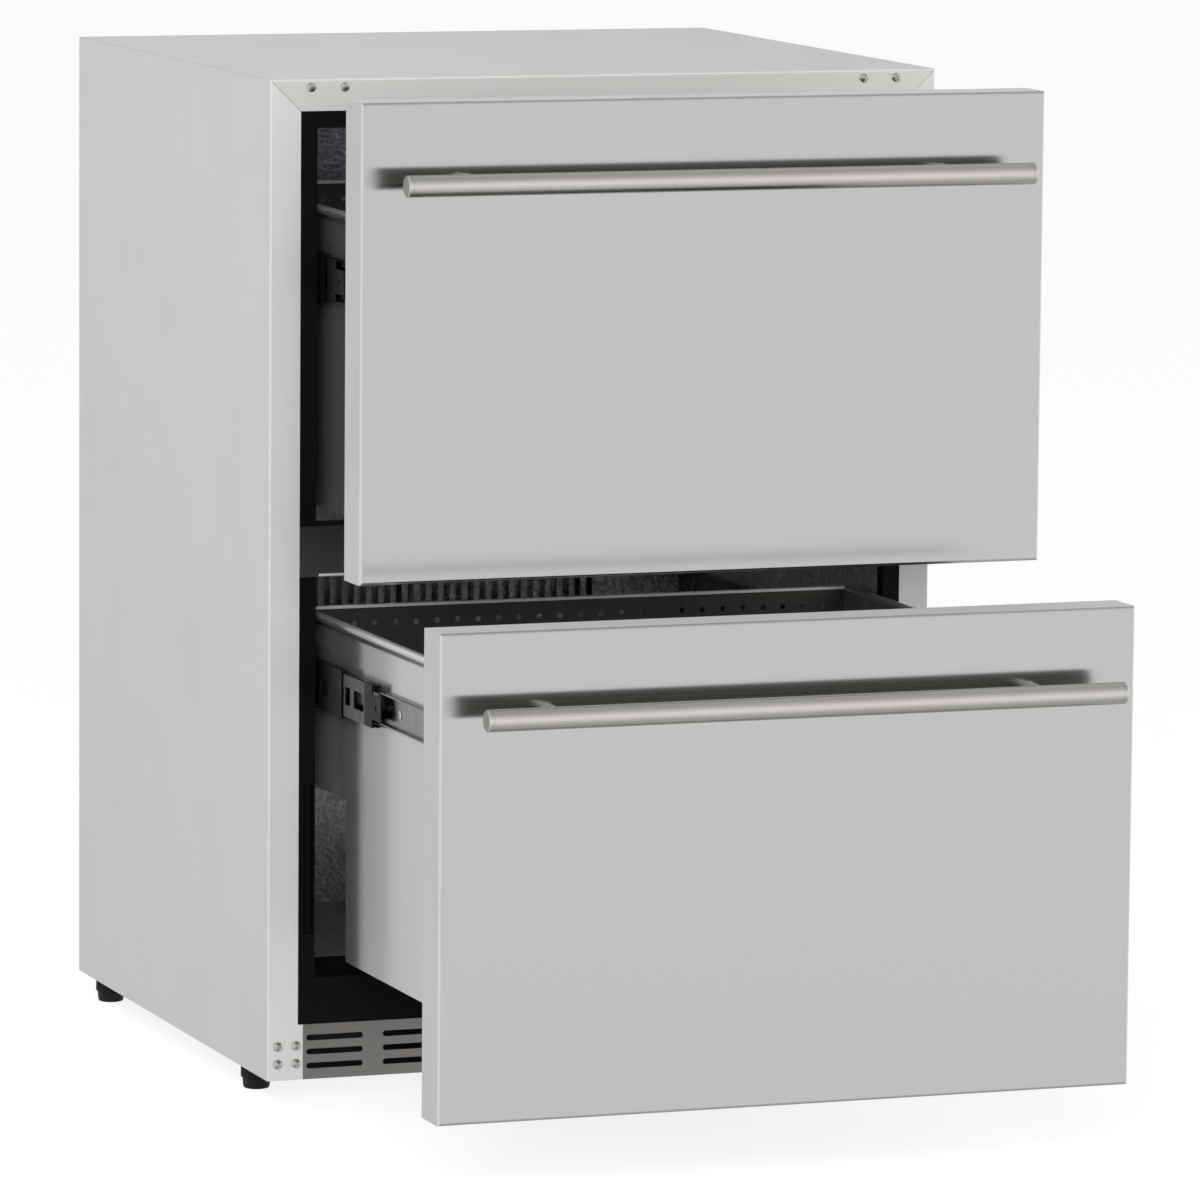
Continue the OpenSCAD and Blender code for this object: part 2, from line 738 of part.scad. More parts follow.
module fan_blades(r, hub_r, depth, blades, bore) difference() {
    union() {
        cylinder(r = hub_r, h = depth);
        intersection() {
            for (i = [0 : blades - 1])
                rotate(i * 360 / blades) translate([0, 0, depth / 2]) rotate([32, 0, 0])
                    translate([hub_r - 2, -14, -0.8]) cube([r, 28, 1.6]);
            cylinder(r = r, h = depth);
        }
    }
    translate([0, 0, -eps]) cylinder(r = bore, h = depth + 2 * eps);
}

cold_blade_y = duct_y + sheet + 5;
module evaporator_fan_blade() color(BLACK) in_frame()
    facing_back([0, cold_fan_z], cold_blade_y)
        fan_blades(cold_fan_r, 13, 11, 5, cold_shaft_r + shaft_clear);

module evaporator_fan_motor() color(GREY) in_frame() {
    motor_y = cold_blade_y + 13;
    hole_y([0, cold_fan_z], [motor_y, in_back - 3], 24);
    hole_y([0, cold_fan_z], [cold_blade_y, motor_y], cold_shaft_r);
    block([-75, 75], [in_back - 3, in_back], about(cold_fan_z, 20));
    block([-10, 10], [in_back - 3, in_back], about(cold_fan_z, 140));
}

module drain_tube() color(WHITE) in_frame() difference() {
    front = evap_y - 15;
    union() {
        block([-trough_half, trough_half], [front, in_back], from(trough_z, trough_h));
        translate([0, drain_y, drain_end_z]) cylinder(r = drain_r, h = trough_z - drain_end_z + 1);
    }
    block([-trough_half + trough_t, trough_half - trough_t], [front + trough_t, in_back - trough_t],
          from(trough_z + trough_t, trough_h));
    translate([0, drain_y, drain_end_z - eps]) cylinder(r = drain_r - 1.5, h = trough_z - drain_end_z + 4);
}

// sloping lamp cover with light slots in its underside
module interior_light() color(WHITE) in_frame() difference() {
    back = in_back - light_gap;
    front = back - light_d;
    slope = 4;
    along_x([-light_half, light_half]) polygon([
        [front, in_top],
        [front + slope, in_top - light_h],
        [back - slope, in_top - light_h],
        [back, in_top],
    ]);
    for (i = [-6 : 6])
        block(about(i * light_half / 7, 4), [front + slope + 2, back - slope - 2],
              [in_top - light_h - eps, in_top - light_h + 1]);
}

// ---- machinery ----

module compressor() color(BLACK) in_frame() translate([comp_x, comp_y, comp_plate_z]) {
    difference() {
        block([-75, 75], [-54, 54], [0, comp_plate_t]);
        for (x = [-1, 1], y = [-1, 1])
            translate([x * comp_foot[0], y * comp_foot[1], -eps])
                cylinder(r = grommet_r + 0.3, h = comp_plate_t + 2 * eps);
    }
    translate([0, 0, comp_plate_t]) rotate_extrude() intersection() {
        rounded_pane([-comp_r, comp_r], [0, comp_h], 36);
        pane([0, comp_r], [0, comp_h]);
    }
    // weld seam between the two halves of the can
    translate([0, 0, comp_plate_t + comp_h * 0.45]) cylinder(r = comp_r + 3, h = 4);
    // cover of the terminals, facing the control box
    block([comp_r - 10, comp_r + 17], [-24, 24], from(comp_plate_t + comp_h * 0.2, 48));
}

module compressor_grommets() color(BLACK) in_frame() for (x = [-1, 1], y = [-1, 1])
    translate([comp_x + x * comp_foot[0], comp_y + y * comp_foot[1], sheet]) {
        cylinder(r = 10, h = comp_plate_z - sheet);
        cylinder(r = grommet_r, h = comp_plate_z - sheet + comp_plate_t + 2);
        translate([0, 0, comp_plate_z - sheet + comp_plate_t]) cylinder(r = 8, h = 2);
    }

module control_box() color(GREY) in_frame() {
    face = inside_w - control_d;
    y = from(machine_y + control_front, control_w);
    z = from(control_z, control_h);
    block([face + lid_t, inside_w], y, z);
    block([face, face + lid_t], y + [-3, 3], z + [-3, 3]);
    for (k = [0 : 5])
        block([face - 1, face], y + [10, -10], from(z[0] + 20 + k * 18, 4));
}

module condenser() color(BLACK) in_frame() {
    translate([cond_x, cond_y, cond_z + cond_h / 2]) rotate([0, 0, 90])
        coil(cond_w, 44, cond_h, 17, 4, 3.5, 11);
    // legs to the base pan
    for (y = [-1, 1])
        block(about(cond_x, 44), about(cond_y + y * cond_w / 2, 1.6), [sheet, cond_z]);
    // tube ends above the top
    for (y = [-1, 1])
        translate([cond_x, cond_y + y * cond_port, cond_z + cond_h - 20]) cylinder(r = 3.5, h = 25);
}
cond_top = cond_z + cond_h + 5;

module condenser_fan_shroud() color(BLACK) in_frame() {
    side = hot_fan_r + 14;
    difference() {
        union() {
            block(from(shroud_x, 2), about(hot_fan_y, 2 * side), [sheet, hot_fan_z + side]);
            translate([shroud_x, hot_fan_y, hot_fan_z]) rotate([0, 90, 0])
                cylinder(r = hot_fan_r + 6, h = shroud_ring);
        }
        translate([shroud_x - eps, hot_fan_y, hot_fan_z]) rotate([0, 90, 0])
            cylinder(r = hot_fan_r + 4, h = shroud_ring + 2 * eps);
    }
    // bridge that carries the motor
    bridge_x = shroud_x + bridge_gap;
    block(from(bridge_x, 2), about(hot_fan_y, 2 * side), about(hot_fan_z, 16));
    for (s = [-1, 1])
        block([shroud_x + 2, bridge_x + 2], about(hot_fan_y + s * (side - 1), 2), about(hot_fan_z, 16));
    translate([bridge_x + 2, hot_fan_y, hot_fan_z]) rotate([0, 90, 0])
        cylinder(r = motor_r, h = motor_len);
    translate([shroud_x + 5, hot_fan_y, hot_fan_z]) rotate([0, 90, 0]) cylinder(r = hot_shaft_r, h = 30);
}

module condenser_fan_blade() color(GREY) in_frame()
    translate([shroud_x + 5, hot_fan_y, hot_fan_z]) rotate([0, 90, 0])
        fan_blades(hot_fan_r, 15, 20, 5, hot_shaft_r + shaft_clear);

module refrigerant_lines() color(COPPER) in_frame() {
    top = comp_top + 22;
    coil_end = evap_w / 2 + 15;
    port = [cond_y - cond_port, cond_y + cond_port];
    tube([[comp_x - 12, comp_y, comp_top], [comp_x - 12, comp_y, top], [comp_x - 12, port[0], top],
          [cond_x, port[0], top], [cond_x, port[0], cond_top]], 3.5, pipe_bend);
    tube([[comp_x + 12, comp_y, comp_top], [comp_x + 12, comp_y, top],
          [suction_x, comp_y, top], [suction_x, chase[1], top],
          [suction_x, chase[1], coil_z], [suction_x, evap_y + 7, coil_z],
          [coil_end, evap_y + 7, coil_z]], suction_r, pipe_bend);
    // liquid line, filter drier and capillary
    tube([[cond_x, port[1], cond_top], [cond_x, port[1], drier_z], [drier_x, port[1], drier_z]],
         3, pipe_bend);
    translate([drier_x, port[1], drier_z]) rotate([0, 90, 0]) cylinder(r = 9, h = drier_len);
    tube([[drier_x + drier_len, port[1], drier_z], [capillary_x, port[1], drier_z],
          [capillary_x, chase[1], drier_z], [capillary_x, chase[1], coil_z],
          [capillary_x, evap_y - 7, coil_z], [coil_end, evap_y - 7, coil_z]],
         capillary_r, capillary_bend);
}

module drip_tray() color(BLACK) in_frame() difference() {
    y = [machine_y + drip_front, cab_d - drip_back];
    block(drip_x, y, from(sheet, drip_h));
    block(drip_x + [2, -2], y + [2, -2], from(sheet + 2, drip_h));
}

module power_inlet() color(BLACK) in_frame() {
    x = about(inlet_x, inlet_size[0]);
    z = about(inlet_z, inlet_size[1]);
    difference() {
        union() {
            block(x, [back_y - 22, cab_d], z);
            block(x + [-8, 8], [cab_d, cab_d + pan_h - 0.2], z + [-3, 3]);
        }
        block(x + [2, -2], [back_y - 18, cab_d + pan_h], z + [3, -3]);
    }
    for (pin = [[-7, -1], [0, 3], [7, -1]])
        block(about(inlet_x + pin[0], 2), [back_y - 19, back_y - 2], about(inlet_z + pin[1], 4));
}

// ---- feet ----

module levelling_foot(x, y) color(BLACK) in_frame() translate([x, y, 0]) {
    pad = foot_h - foot_seat;
    rim = 1.5;
    rotate_extrude() polygon([
        [0, -foot_h],
        [foot_d / 2 - 1 - rim, -foot_h],
        [foot_d / 2 - 1, -foot_h + rim],
        [foot_d / 2, -foot_h + pad],
        [0, -foot_h + pad],
    ]);
    translate([0, 0, -foot_seat - eps]) cylinder(r = stud_d / 2, h = stud_len + eps);
}

module foot_front_left() levelling_foot(-foot_x, foot_front);

module foot_front_right() levelling_foot(foot_x, foot_front);

module foot_back_left() levelling_foot(-foot_x, foot_back_y);

module foot_back_right() levelling_foot(foot_x, foot_back_y);

// ---- slides ----

// both halves of a section that is the same above and below the middle of the slide
module mirrored_section() for (m = [0, 1]) mirror([0, m]) children();

module outer_section() mirrored_section() difference() {
    union() {
        pane([0, slide_sheet], [0, slide_half]);
        pane([0, outer_flange], [slide_half - slide_sheet, slide_half]);
    }
    translate([outer_ball_x, outer_ball_z]) circle(outer_groove_r);
}

module middle_section() mirrored_section() difference() {
    union() {
        pane([mid_web, mid_web + slide_sheet], [0, mid_half]);
        pane([mid_web, mid_flange], [mid_half - slide_sheet, mid_half]);
    }
    translate([outer_ball_x, outer_ball_z]) circle(outer_groove_r);
    translate([inner_ball_x, inner_ball_z]) circle(inner_groove_r);
}

module inner_section() mirrored_section() difference() {
    union() {
        pane([slide_t - slide_sheet, slide_t], [0, inner_half]);
        pane([inner_flange, slide_t], [inner_half - slide_sheet, inner_half]);
    }
    translate([inner_ball_x, inner_ball_z]) circle(inner_groove_r);
}

module outer_cage_section() mirrored_section() {
    web = mid_web - cage_air - cage_t;
    pane([web, web + cage_t], [0, outer_ball_z + strip_t / 2]);
    pane([web, outer_flange - 1.2], about(outer_ball_z, strip_t));
}

module inner_cage_section() mirrored_section() {
    web = mid_web + slide_sheet + cage_air;
    pane([web, web + cage_t], [0, inner_ball_z + strip_t / 2]);
    pane([web, slide_t - 1.6], about(inner_ball_z, strip_t));
}

// a left and a right slide at height z, from sections drawn about the left wall
module slide_pair(z) both_sides() translate([-in_half, 0, z]) children();

module cage(front, length, balls, ball_x, ball_z, ball_r) {
    difference() {
        along_y(from(front, length)) children();
        for (y = [36 : 56 : length - 24])
            block([0, ball_x - ball_r - 0.2], from(front + y, 16), [-7, 7]);
    }
    pitch = (length - 24) / (balls - 1);
    for (s = [-1, 1], i = [0 : balls - 1])
        translate([ball_x, front + 12 + i * pitch, s * ball_z]) sphere(ball_r, $fn = 24);
}

module outer_cages(z) slide_pair(z)
    cage(slide_front, outer_cage_len, outer_balls, outer_ball_x, outer_ball_z,
         outer_groove_r - ball_clear) outer_cage_section();

module inner_cages(z) slide_pair(z)
    cage(inner_cage_y, inner_cage_len, inner_balls, inner_ball_x, inner_ball_z,
         inner_groove_r - ball_clear) inner_cage_section();

module slide_outer_members() color(GALVANISED) in_frame() difference() {
    for (z = [upper_slide_z, lower_slide_z])
        slide_pair(z) along_y([slide_front, slide_back]) outer_section();
    for (p = wall_screws)
        translate([p[0] * in_half, p[1], p[2]]) rotate([0, -90 * p[0], 0])
            translate([0, 0, -eps]) cylinder(r = shank_r + shank_clear, h = slide_sheet + 2 * eps);
}

module slide_wall_screws() color(STEEL) in_frame() for (p = wall_screws)
    translate([p[0] * (in_half - slide_sheet), p[1], p[2]]) rotate([0, -90 * p[0], 0])
        screw(pan_r, low_head_h, shank_r, 8);

// the middle member starts behind its end block; openings in its web reach the wall screws
module slide_middle(z) slide_pair(z) difference() {
    along_y([mid_front, slide_back]) middle_section();
    for (w = [[2, 26], [38, 13]])
        block([mid_web - eps, outer_ball_x], from(mid_front + w[0], w[1]), [-7.5, 7.5]);
    for (y = [mid_front + 80 : 80 : slide_back - 20])
        translate([mid_web - eps, y, 0]) rotate([0, 90, 0]) cylinder(r = 5, h = slide_sheet + 2 * eps);
}

// plastic end block, with a tongue that is held by a rivet
module slide_stops(z) slide_pair(z) {
    along_y([stop_front, mid_front]) middle_section();
    difference() {
        block(from(mid_web, slide_sheet), [slide_front, stop_front], [-tongue_half, tongue_half]);
        translate([mid_web - eps, slide_front + tongue_len * 0.55, 0]) rotate([0, 90, 0])
            cylinder(r = 2.2, h = slide_sheet + 2 * eps);
    }
}

module drawer_screw_places(z) both_sides() for (y = drawer_screw_y)
    translate([-in_half + slide_t - slide_sheet, y, z]) rotate([0, -90, 0]) children();

module slide_inner(z) difference() {
    slide_pair(z) along_y([slide_front, slide_back]) inner_section();
    drawer_screw_places(z) translate([0, 0, -slide_sheet - eps])
        cylinder(r = shank_r + shank_clear, h = slide_sheet + 2 * eps);
}

// ---- drawers ----

// the box of a front with its four front edges rounded
module front_body(z, h) intersection() {
    translate([0, 0, z]) linear_extrude(h) difference() {
        rounded_pane([-front_w / 2, front_w / 2], [front_face, front_back + edge_r], edge_r);
        pane([-front_w, front_w], [front_back, front_back + 2 * edge_r]);
    }
    along_x([-front_w / 2, front_w / 2]) difference() {
        rounded_pane([front_face, front_back + edge_r], [z, z + h], edge_r);
        pane([front_back, front_back + 2 * edge_r], [z - eps, z + h + eps]);
    }
}

function core_x() = [-front_w / 2 + skin_t, front_w / 2 - skin_t];
function core_z(z, h) = [z + skin_t, z + h - skin_t];
function box_screws(box) =
    [for (s = [-1, 1], z = [box[0] + box_screw_inset, box[1] - box_screw_inset]) [s * box_screw_x, z]];
function post_places(z, h) = [for (s = [-1, 1]) [s * post_spacing / 2, z + h - handle_drop]];

module front_skin(z, h) difference() {
    front_body(z, h);
    block(core_x(), [front_face + skin_t, front_back + eps], core_z(z, h));
    for (at = post_places(z, h))
        hole_y(at, [front_face - eps, front_face + skin_t + eps], handle_screw_r + shank_clear);
}

module front_foam(z, h, box) difference() {
    block(core_x(), [front_face + skin_t, front_back - inner_t], core_z(z, h));
    for (at = post_places(z, h))
        hole_y(at, [front_face, front_face + skin_t + handle_head_h + 0.3], handle_head_r + 0.3);
    for (at = box_screws(box))
        hole_y(at, [front_back - 12, front_back], shank_r + shank_clear);
}

module front_inner(z, h, box) difference() {
    block(core_x(), [front_back - inner_t, front_back], core_z(z, h));
    for (at = box_screws(box))
        hole_y(at, [front_back - inner_t - eps, front_back + eps], shank_r + shank_clear);
}

module gasket_ring(x, z, w) difference() {
    rounded_pane([-x, x], z, 12);
    rounded_pane([-x + w, x - w], [z[0] + w, z[1] - w], 12 - w / 2);
}

// a flat foot on the front and a narrower bulb that meets the frame
module gasket(z, h, top_inset) {
    x = front_w / 2 - gasket_inset;
    span = [z + gasket_inset, z + h - top_inset];
    foot_t = 1.7;
    along_y([front_back, front_back + foot_t]) gasket_ring(x, span, gasket_w);
    along_y([front_back + foot_t - 0.2, -0.3]) gasket_ring(x - 1, span + [1, -1], gasket_w - 2);
}

// side sheets of a drawer box, each with a rolled edge along the outside of its top; stepped ones
// leave room for the compressor hump
module box_sides(box, stepped) both_sides() {
    along_x([box_half - box_t, box_half]) difference() {
        pane([front_back, box_back], [box[0], box[1] - bead_r]);
        if (stepped) pane([step_y, box_back + eps], [box[0] - eps, step_z]);
    }
    translate([box_half + bead_r - box_t + 0.3, front_back, box[1] - bead_r]) rotate([-90, 0, 0])
        cylinder(r = bead_r, h = box_back - front_back);
}

// front, floor and back sheets between the sides, with open lines at their welded seams
module box_sheets(box, stepped) {
    x = [-box_half + box_t + seam, box_half - box_t - seam];
    block(x, from(front_back, box_t), box);
    block(x, [front_back + box_t + seam, (stepped ? step_y : box_back) - box_t - seam],
          from(box[0], box_t));
    block(x, [box_back - box_t, box_back], [stepped ? step_z : box[0], box[1]]);
    if (stepped) {
        block(x, [step_y - box_t, step_y], [box[0], step_z + box_t]);
        block(x, [step_y + seam, box_back - box_t - seam], from(step_z, box_t));
    }
}

module drawer_box(box, stepped, slide_z) difference() {
    union() {
        box_sides(box, stepped);
        box_sheets(box, stepped);
    }
    count = floor((box_half - 16) / vent_pitch);
    for (i = [-count : count])
        hole_y([i * vent_pitch, box[1] - 16], [box_back - box_t - eps, box_back + eps], vent_d / 2);
    for (at = box_screws(box))
        hole_y(at, [front_back - eps, front_back + box_t + eps], shank_r + shank_clear);
    drawer_screw_places(slide_z) translate([0, 0, -slide_sheet - box_t - eps])
        cylinder(r = shank_r + shank_clear, h = box_t + 2 * eps);
}

// bar with chamfered ends and a fine line around each end cap
module handle_bar(z, h) translate([-handle_len / 2, handle_y, z + h - handle_drop])
    rotate([0, 90, 0]) rotate_extrude() difference() {
        polygon([
            [0, 0], [handle_d / 2 - 1, 0], [handle_d / 2, 1],
            [handle_d / 2, handle_len - 1], [handle_d / 2 - 1, handle_len], [0, handle_len],
        ]);
        for (at = [cap_len, handle_len - cap_len])
            translate([handle_d / 2 - 0.3, at - 0.3]) square([1, 0.6]);
    }

module handle_posts(z, h) difference() {
    for (at = post_places(z, h)) {
        hole_y(at, [handle_y, front_face], post_d / 2);
        hole_y(at, [front_face - 2.5, front_face], post_d / 2 + 1);
    }
    translate([-handle_len / 2, handle_y, z + h - handle_drop]) rotate([0, 90, 0])
        cylinder(r = handle_d / 2 + 0.02, h = handle_len);
    for (at = post_places(z, h))
        hole_y(at, [front_face - handle_screw_len - 1, front_face + eps], handle_screw_r + 0.1);
}

module drawer_screws(z, h, box, slide_z) {
    for (at = post_places(z, h))
        facing_back(at, front_face + skin_t)
            screw(handle_head_r, handle_head_h, handle_screw_r, handle_screw_len);
    for (at = box_screws(box))
        facing_back(at, front_back + box_t) screw(pan_r, low_head_h, shank_r, 10);
    drawer_screw_places(slide_z) screw(pan_r, low_head_h, shank_r, slide_sheet + box_t);
}

module upper_front_skin() color(STEEL) opened(upper_open) front_skin(upper_front_z, upper_front_h);

module lower_front_skin() color(STEEL) opened(lower_open) front_skin(lower_front_z, lower_front_h);

module upper_front_foam() color(FOAM) opened(upper_open)
    front_foam(upper_front_z, upper_front_h, upper_box);

module lower_front_foam() color(FOAM) opened(lower_open)
    front_foam(lower_front_z, lower_front_h, lower_box);

module upper_front_inner() color(PALE) opened(upper_open)
    front_inner(upper_front_z, upper_front_h, upper_box);

module lower_front_inner() color(PALE) opened(lower_open)
    front_inner(lower_front_z, lower_front_h, lower_box);

module upper_gasket() color(BLACK) opened(upper_open)
    gasket(upper_front_z, upper_front_h, gasket_inset);

module lower_gasket() color(BLACK) opened(lower_open)
    gasket(lower_front_z, lower_front_h, lower_gasket_inset);

module upper_drawer_box() color(STEEL) opened(upper_open)
    drawer_box(upper_box, false, upper_slide_z);

module lower_drawer_box() color(STEEL) opened(lower_open)
    drawer_box(lower_box, true, lower_slide_z);

module upper_handle_bar() color(STEEL) opened(upper_open) handle_bar(upper_front_z, upper_front_h);

module lower_handle_bar() color(STEEL) opened(lower_open) handle_bar(lower_front_z, lower_front_h);

module upper_handle_posts() color(STEEL) opened(upper_open)
    handle_posts(upper_front_z, upper_front_h);

module lower_handle_posts() color(STEEL) opened(lower_open)
    handle_posts(lower_front_z, lower_front_h);

module upper_drawer_screws() color(STEEL) opened(upper_open)
    drawer_screws(upper_front_z, upper_front_h, upper_box, upper_slide_z);

module lower_drawer_screws() color(STEEL) opened(lower_open)
    drawer_screws(lower_front_z, lower_front_h, lower_box, lower_slide_z);

module upper_slide_inner() color(GALVANISED) opened(upper_open) slide_inner(upper_slide_z);

module lower_slide_inner() color(GALVANISED) opened(lower_open) slide_inner(lower_slide_z);

// a middle member moves half as far as its drawer, and the cages keep halfway between members
module upper_slide_middle() color(GALVANISED) opened(upper_open / 2) slide_middle(upper_slide_z);

module lower_slide_middle() color(GALVANISED) opened(lower_open / 2) slide_middle(lower_slide_z);

module upper_slide_stops() color(BLACK) opened(upper_open / 2) slide_stops(upper_slide_z);

module lower_slide_stops() color(BLACK) opened(lower_open / 2) slide_stops(lower_slide_z);

module upper_outer_cages() color(BLACK) opened(upper_open / 4) outer_cages(upper_slide_z);

module lower_outer_cages() color(BLACK) opened(lower_open / 4) outer_cages(lower_slide_z);

module upper_inner_cages() color(BLACK) opened(upper_open * 3 / 4) inner_cages(upper_slide_z);

module lower_inner_cages() color(BLACK) opened(lower_open * 3 / 4) inner_cages(lower_slide_z);

cabinet_side_left();
cabinet_side_right();
cabinet_top();
cabinet_back();
base_pan();
compartment_plate();
cabinet_foam();
liner();
breaker_frame();
middle_rail();
kick_grille();
frame_screws();
rear_cover();
air_duct_cover();
evaporator();
evaporator_fan_motor();
evaporator_fan_blade();
drain_tube();
compressor();
compressor_grommets();
control_box();
condenser();
condenser_fan_shroud();
condenser_fan_blade();
refrigerant_lines();
drip_tray();
interior_light();
power_inlet();
slide_outer_members();
slide_wall_screws();
foot_front_left();
foot_front_right();
foot_back_left();
foot_back_right();
upper_front_skin();
upper_front_foam();
upper_front_inner();
upper_gasket();
upper_drawer_box();
upper_handle_bar();
upper_handle_posts();
upper_drawer_screws();
upper_slide_inner();
upper_slide_middle();
upper_slide_stops();
upper_outer_cages();
upper_inner_cages();
lower_front_skin();
lower_front_foam();
lower_front_inner();
lower_gasket();
lower_drawer_box();
lower_handle_bar();
lower_handle_posts();
lower_drawer_screws();
lower_slide_inner();
lower_slide_middle();
lower_slide_stops();
lower_outer_cages();
lower_inner_cages();
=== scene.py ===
"""Looks of an undercounter refrigerator with two drawers, stored part way open.

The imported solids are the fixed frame. Lengths here are metres, +X is to the right, +Y to the back
and +Z up. Places that come from the cabinet's own drawing are written in its millimetres and
turned into the frame by place().
"""

import math

import bmesh
import bpy
from mathutils import Matrix, Vector


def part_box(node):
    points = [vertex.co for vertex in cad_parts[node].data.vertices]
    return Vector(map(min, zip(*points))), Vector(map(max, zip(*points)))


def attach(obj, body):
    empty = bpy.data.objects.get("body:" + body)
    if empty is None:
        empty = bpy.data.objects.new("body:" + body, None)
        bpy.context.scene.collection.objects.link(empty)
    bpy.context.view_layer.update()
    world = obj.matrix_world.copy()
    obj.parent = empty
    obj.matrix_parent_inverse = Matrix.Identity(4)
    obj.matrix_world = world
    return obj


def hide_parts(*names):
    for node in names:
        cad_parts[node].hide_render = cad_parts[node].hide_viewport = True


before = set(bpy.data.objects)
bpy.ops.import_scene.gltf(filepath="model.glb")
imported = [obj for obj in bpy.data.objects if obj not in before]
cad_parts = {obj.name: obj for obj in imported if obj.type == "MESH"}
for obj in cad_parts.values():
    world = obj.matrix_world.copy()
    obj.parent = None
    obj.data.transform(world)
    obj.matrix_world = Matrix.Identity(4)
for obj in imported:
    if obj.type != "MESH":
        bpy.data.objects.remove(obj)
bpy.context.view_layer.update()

SCENE = bpy.context.scene
MM = 0.001
SIDES = (-1, 1)  # left and right
RIGHT, BACK, UP = Vector((1, 0, 0)), Vector((0, 1, 0)), Vector((0, 0, 1))
CABINET_Y = 35.6  # the cabinet's steel front lies this far in front of the frame's origin, in mm
SHELL_Z = 20.0  # height of the shell's lower edge above the floor, in mm


def place(x, y, z):
    """A point of the cabinet's drawing, in millimetres, as a point of the frame."""
    return Vector((x, y - CABINET_Y, z + SHELL_Z)) * MM


def new_object(name, bm):
    """An object of the scene with the mesh of bm, which is used up."""
    mesh = bpy.data.meshes.new(name)
    bm.to_mesh(mesh)
    bm.free()
    item = bpy.data.objects.new(name, mesh)
    SCENE.collection.objects.link(item)
    return item


# ---- camera ----

PHOTO_WIDTH = 1200.0
FOCAL_PIXELS = 8353.0
SENSOR_WIDTH = 36.0
CAMERA_PLACE = (-2423.96, -6659.31, 1339.68)  # in the cabinet's drawing
CAMERA_YAW, CAMERA_PITCH, CAMERA_ROLL = 19.98, 7.54, 0.48  # degrees to the right, down and over


def make_camera():
    """The camera that was solved from the edges of the cabinet in the photograph."""
    yaw, pitch, roll = (math.radians(a) for a in (CAMERA_YAW, CAMERA_PITCH, CAMERA_ROLL))
    level_ahead = Vector((math.sin(yaw), math.cos(yaw), 0))
    ahead = math.cos(pitch) * level_ahead - math.sin(pitch) * UP
    level = Vector((math.cos(yaw), -math.sin(yaw), 0))
    upright = level.cross(ahead)
    right = math.cos(roll) * level + math.sin(roll) * upright
    up = -math.sin(roll) * level + math.cos(roll) * upright
    data = bpy.data.cameras.new("camera")
    data.sensor_width = SENSOR_WIDTH
    data.lens = SENSOR_WIDTH * FOCAL_PIXELS / PHOTO_WIDTH
    data.clip_start, data.clip_end = 0.1, 60.0
    camera = bpy.data.objects.new("camera", data)
    SCENE.collection.objects.link(camera)
    turn = Matrix((right, up, -ahead)).transposed().to_4x4()
    camera.matrix_world = Matrix.Translation(place(*CAMERA_PLACE)) @ turn
    SCENE.camera = camera


# ---- shader helpers ----


def link(tree, source, target):
    tree.links.new(source, target)


def feed(tree, node, inputs):
    """Gives a node its input values and links."""
    for key, value in inputs.items():
        if isinstance(value, bpy.types.NodeSocket):
            link(tree, value, node.inputs[key])
        else:
            node.inputs[key].default_value = value


def add(tree, kind, inputs=(), **settings):
    """A new node of a tree, with its settings and with its input values or links."""
    node = tree.nodes.new(kind)
    for name, value in settings.items():
        setattr(node, name, value)
    feed(tree, node, dict(inputs))
    return node


def use(tree, group, **inputs):
    """The outputs of one use of a node group in a material."""
    return add(tree, "ShaderNodeGroup", inputs, node_tree=group).outputs


def new_group(name, inputs, outputs):
    """An empty node group: its tree, what it is given, and the node that takes its results."""
    tree = bpy.data.node_groups.new(name, "ShaderNodeTree")
    for label, kind, value in inputs:
        socket = tree.interface.new_socket(label, in_out="INPUT", socket_type=kind)
        if value is not None:
            socket.default_value = value
    for label, kind in outputs:
        tree.interface.new_socket(label, in_out="OUTPUT", socket_type=kind)
    return tree, tree.nodes.new("NodeGroupInput").outputs, tree.nodes.new("NodeGroupOutput")


def new_material(name):
    """A material with its tree and its Principled BSDF."""
    material = bpy.data.materials.new(name)
    material.use_nodes = True
    return material, material.node_tree, material.node_tree.nodes["Principled BSDF"]


def object_place(tree, scale=(1, 1, 1)):
    """Object coordinates, stretched."""
    source = add(tree, "ShaderNodeTexCoord").outputs["Object"]
    return add(tree, "ShaderNodeMapping", {"Vector": source, "Scale": scale}).outputs["Vector"]


def noise(tree, where, scale, detail, roughness=0.5, distortion=0.0):
    """Cloudy noise around one half."""
    inputs = {
        "Vector": where, "Scale": scale, "Detail": detail, "Roughness": roughness,
        "Distortion": distortion,
    }
    return add(tree, "ShaderNodeTexNoise", inputs).outputs["Fac"]


def cells(tree, where, scale, smoothness):
    """Distance from the middles of soft-edged cells."""
    return add(
        tree, "ShaderNodeTexVoronoi",
        {"Vector": where, "Scale": scale, "Smoothness": smoothness}, feature="SMOOTH_F1",
    ).outputs["Distance"]


def colour_between(tree, share, first, second):
    return add(
        tree, "ShaderNodeMix", {0: share, 6: first, 7: second}, data_type="RGBA"
    ).outputs[2]


def value_between(tree, share, first, second):
    return add(tree, "ShaderNodeMix", {0: share, 2: first, 3: second}).outputs[0]


def ranged(tree, value, start=0.0, end=1.0, low=0.0, high=1.0, soft=False):
    """A value that runs from low to high as the given one runs from start to end."""
    return add(
        tree, "ShaderNodeMapRange",
        {"Value": value, "From Min": start, "From Max": end, "To Min": low, "To Max": high},
        interpolation_type="SMOOTHSTEP" if soft else "LINEAR",
    ).outputs["Result"]


def combined(tree, operation, *values):
    """The result of one sum on values."""
    return add(
        tree, "ShaderNodeMath", dict(enumerate(values)), operation=operation
    ).outputs[0]


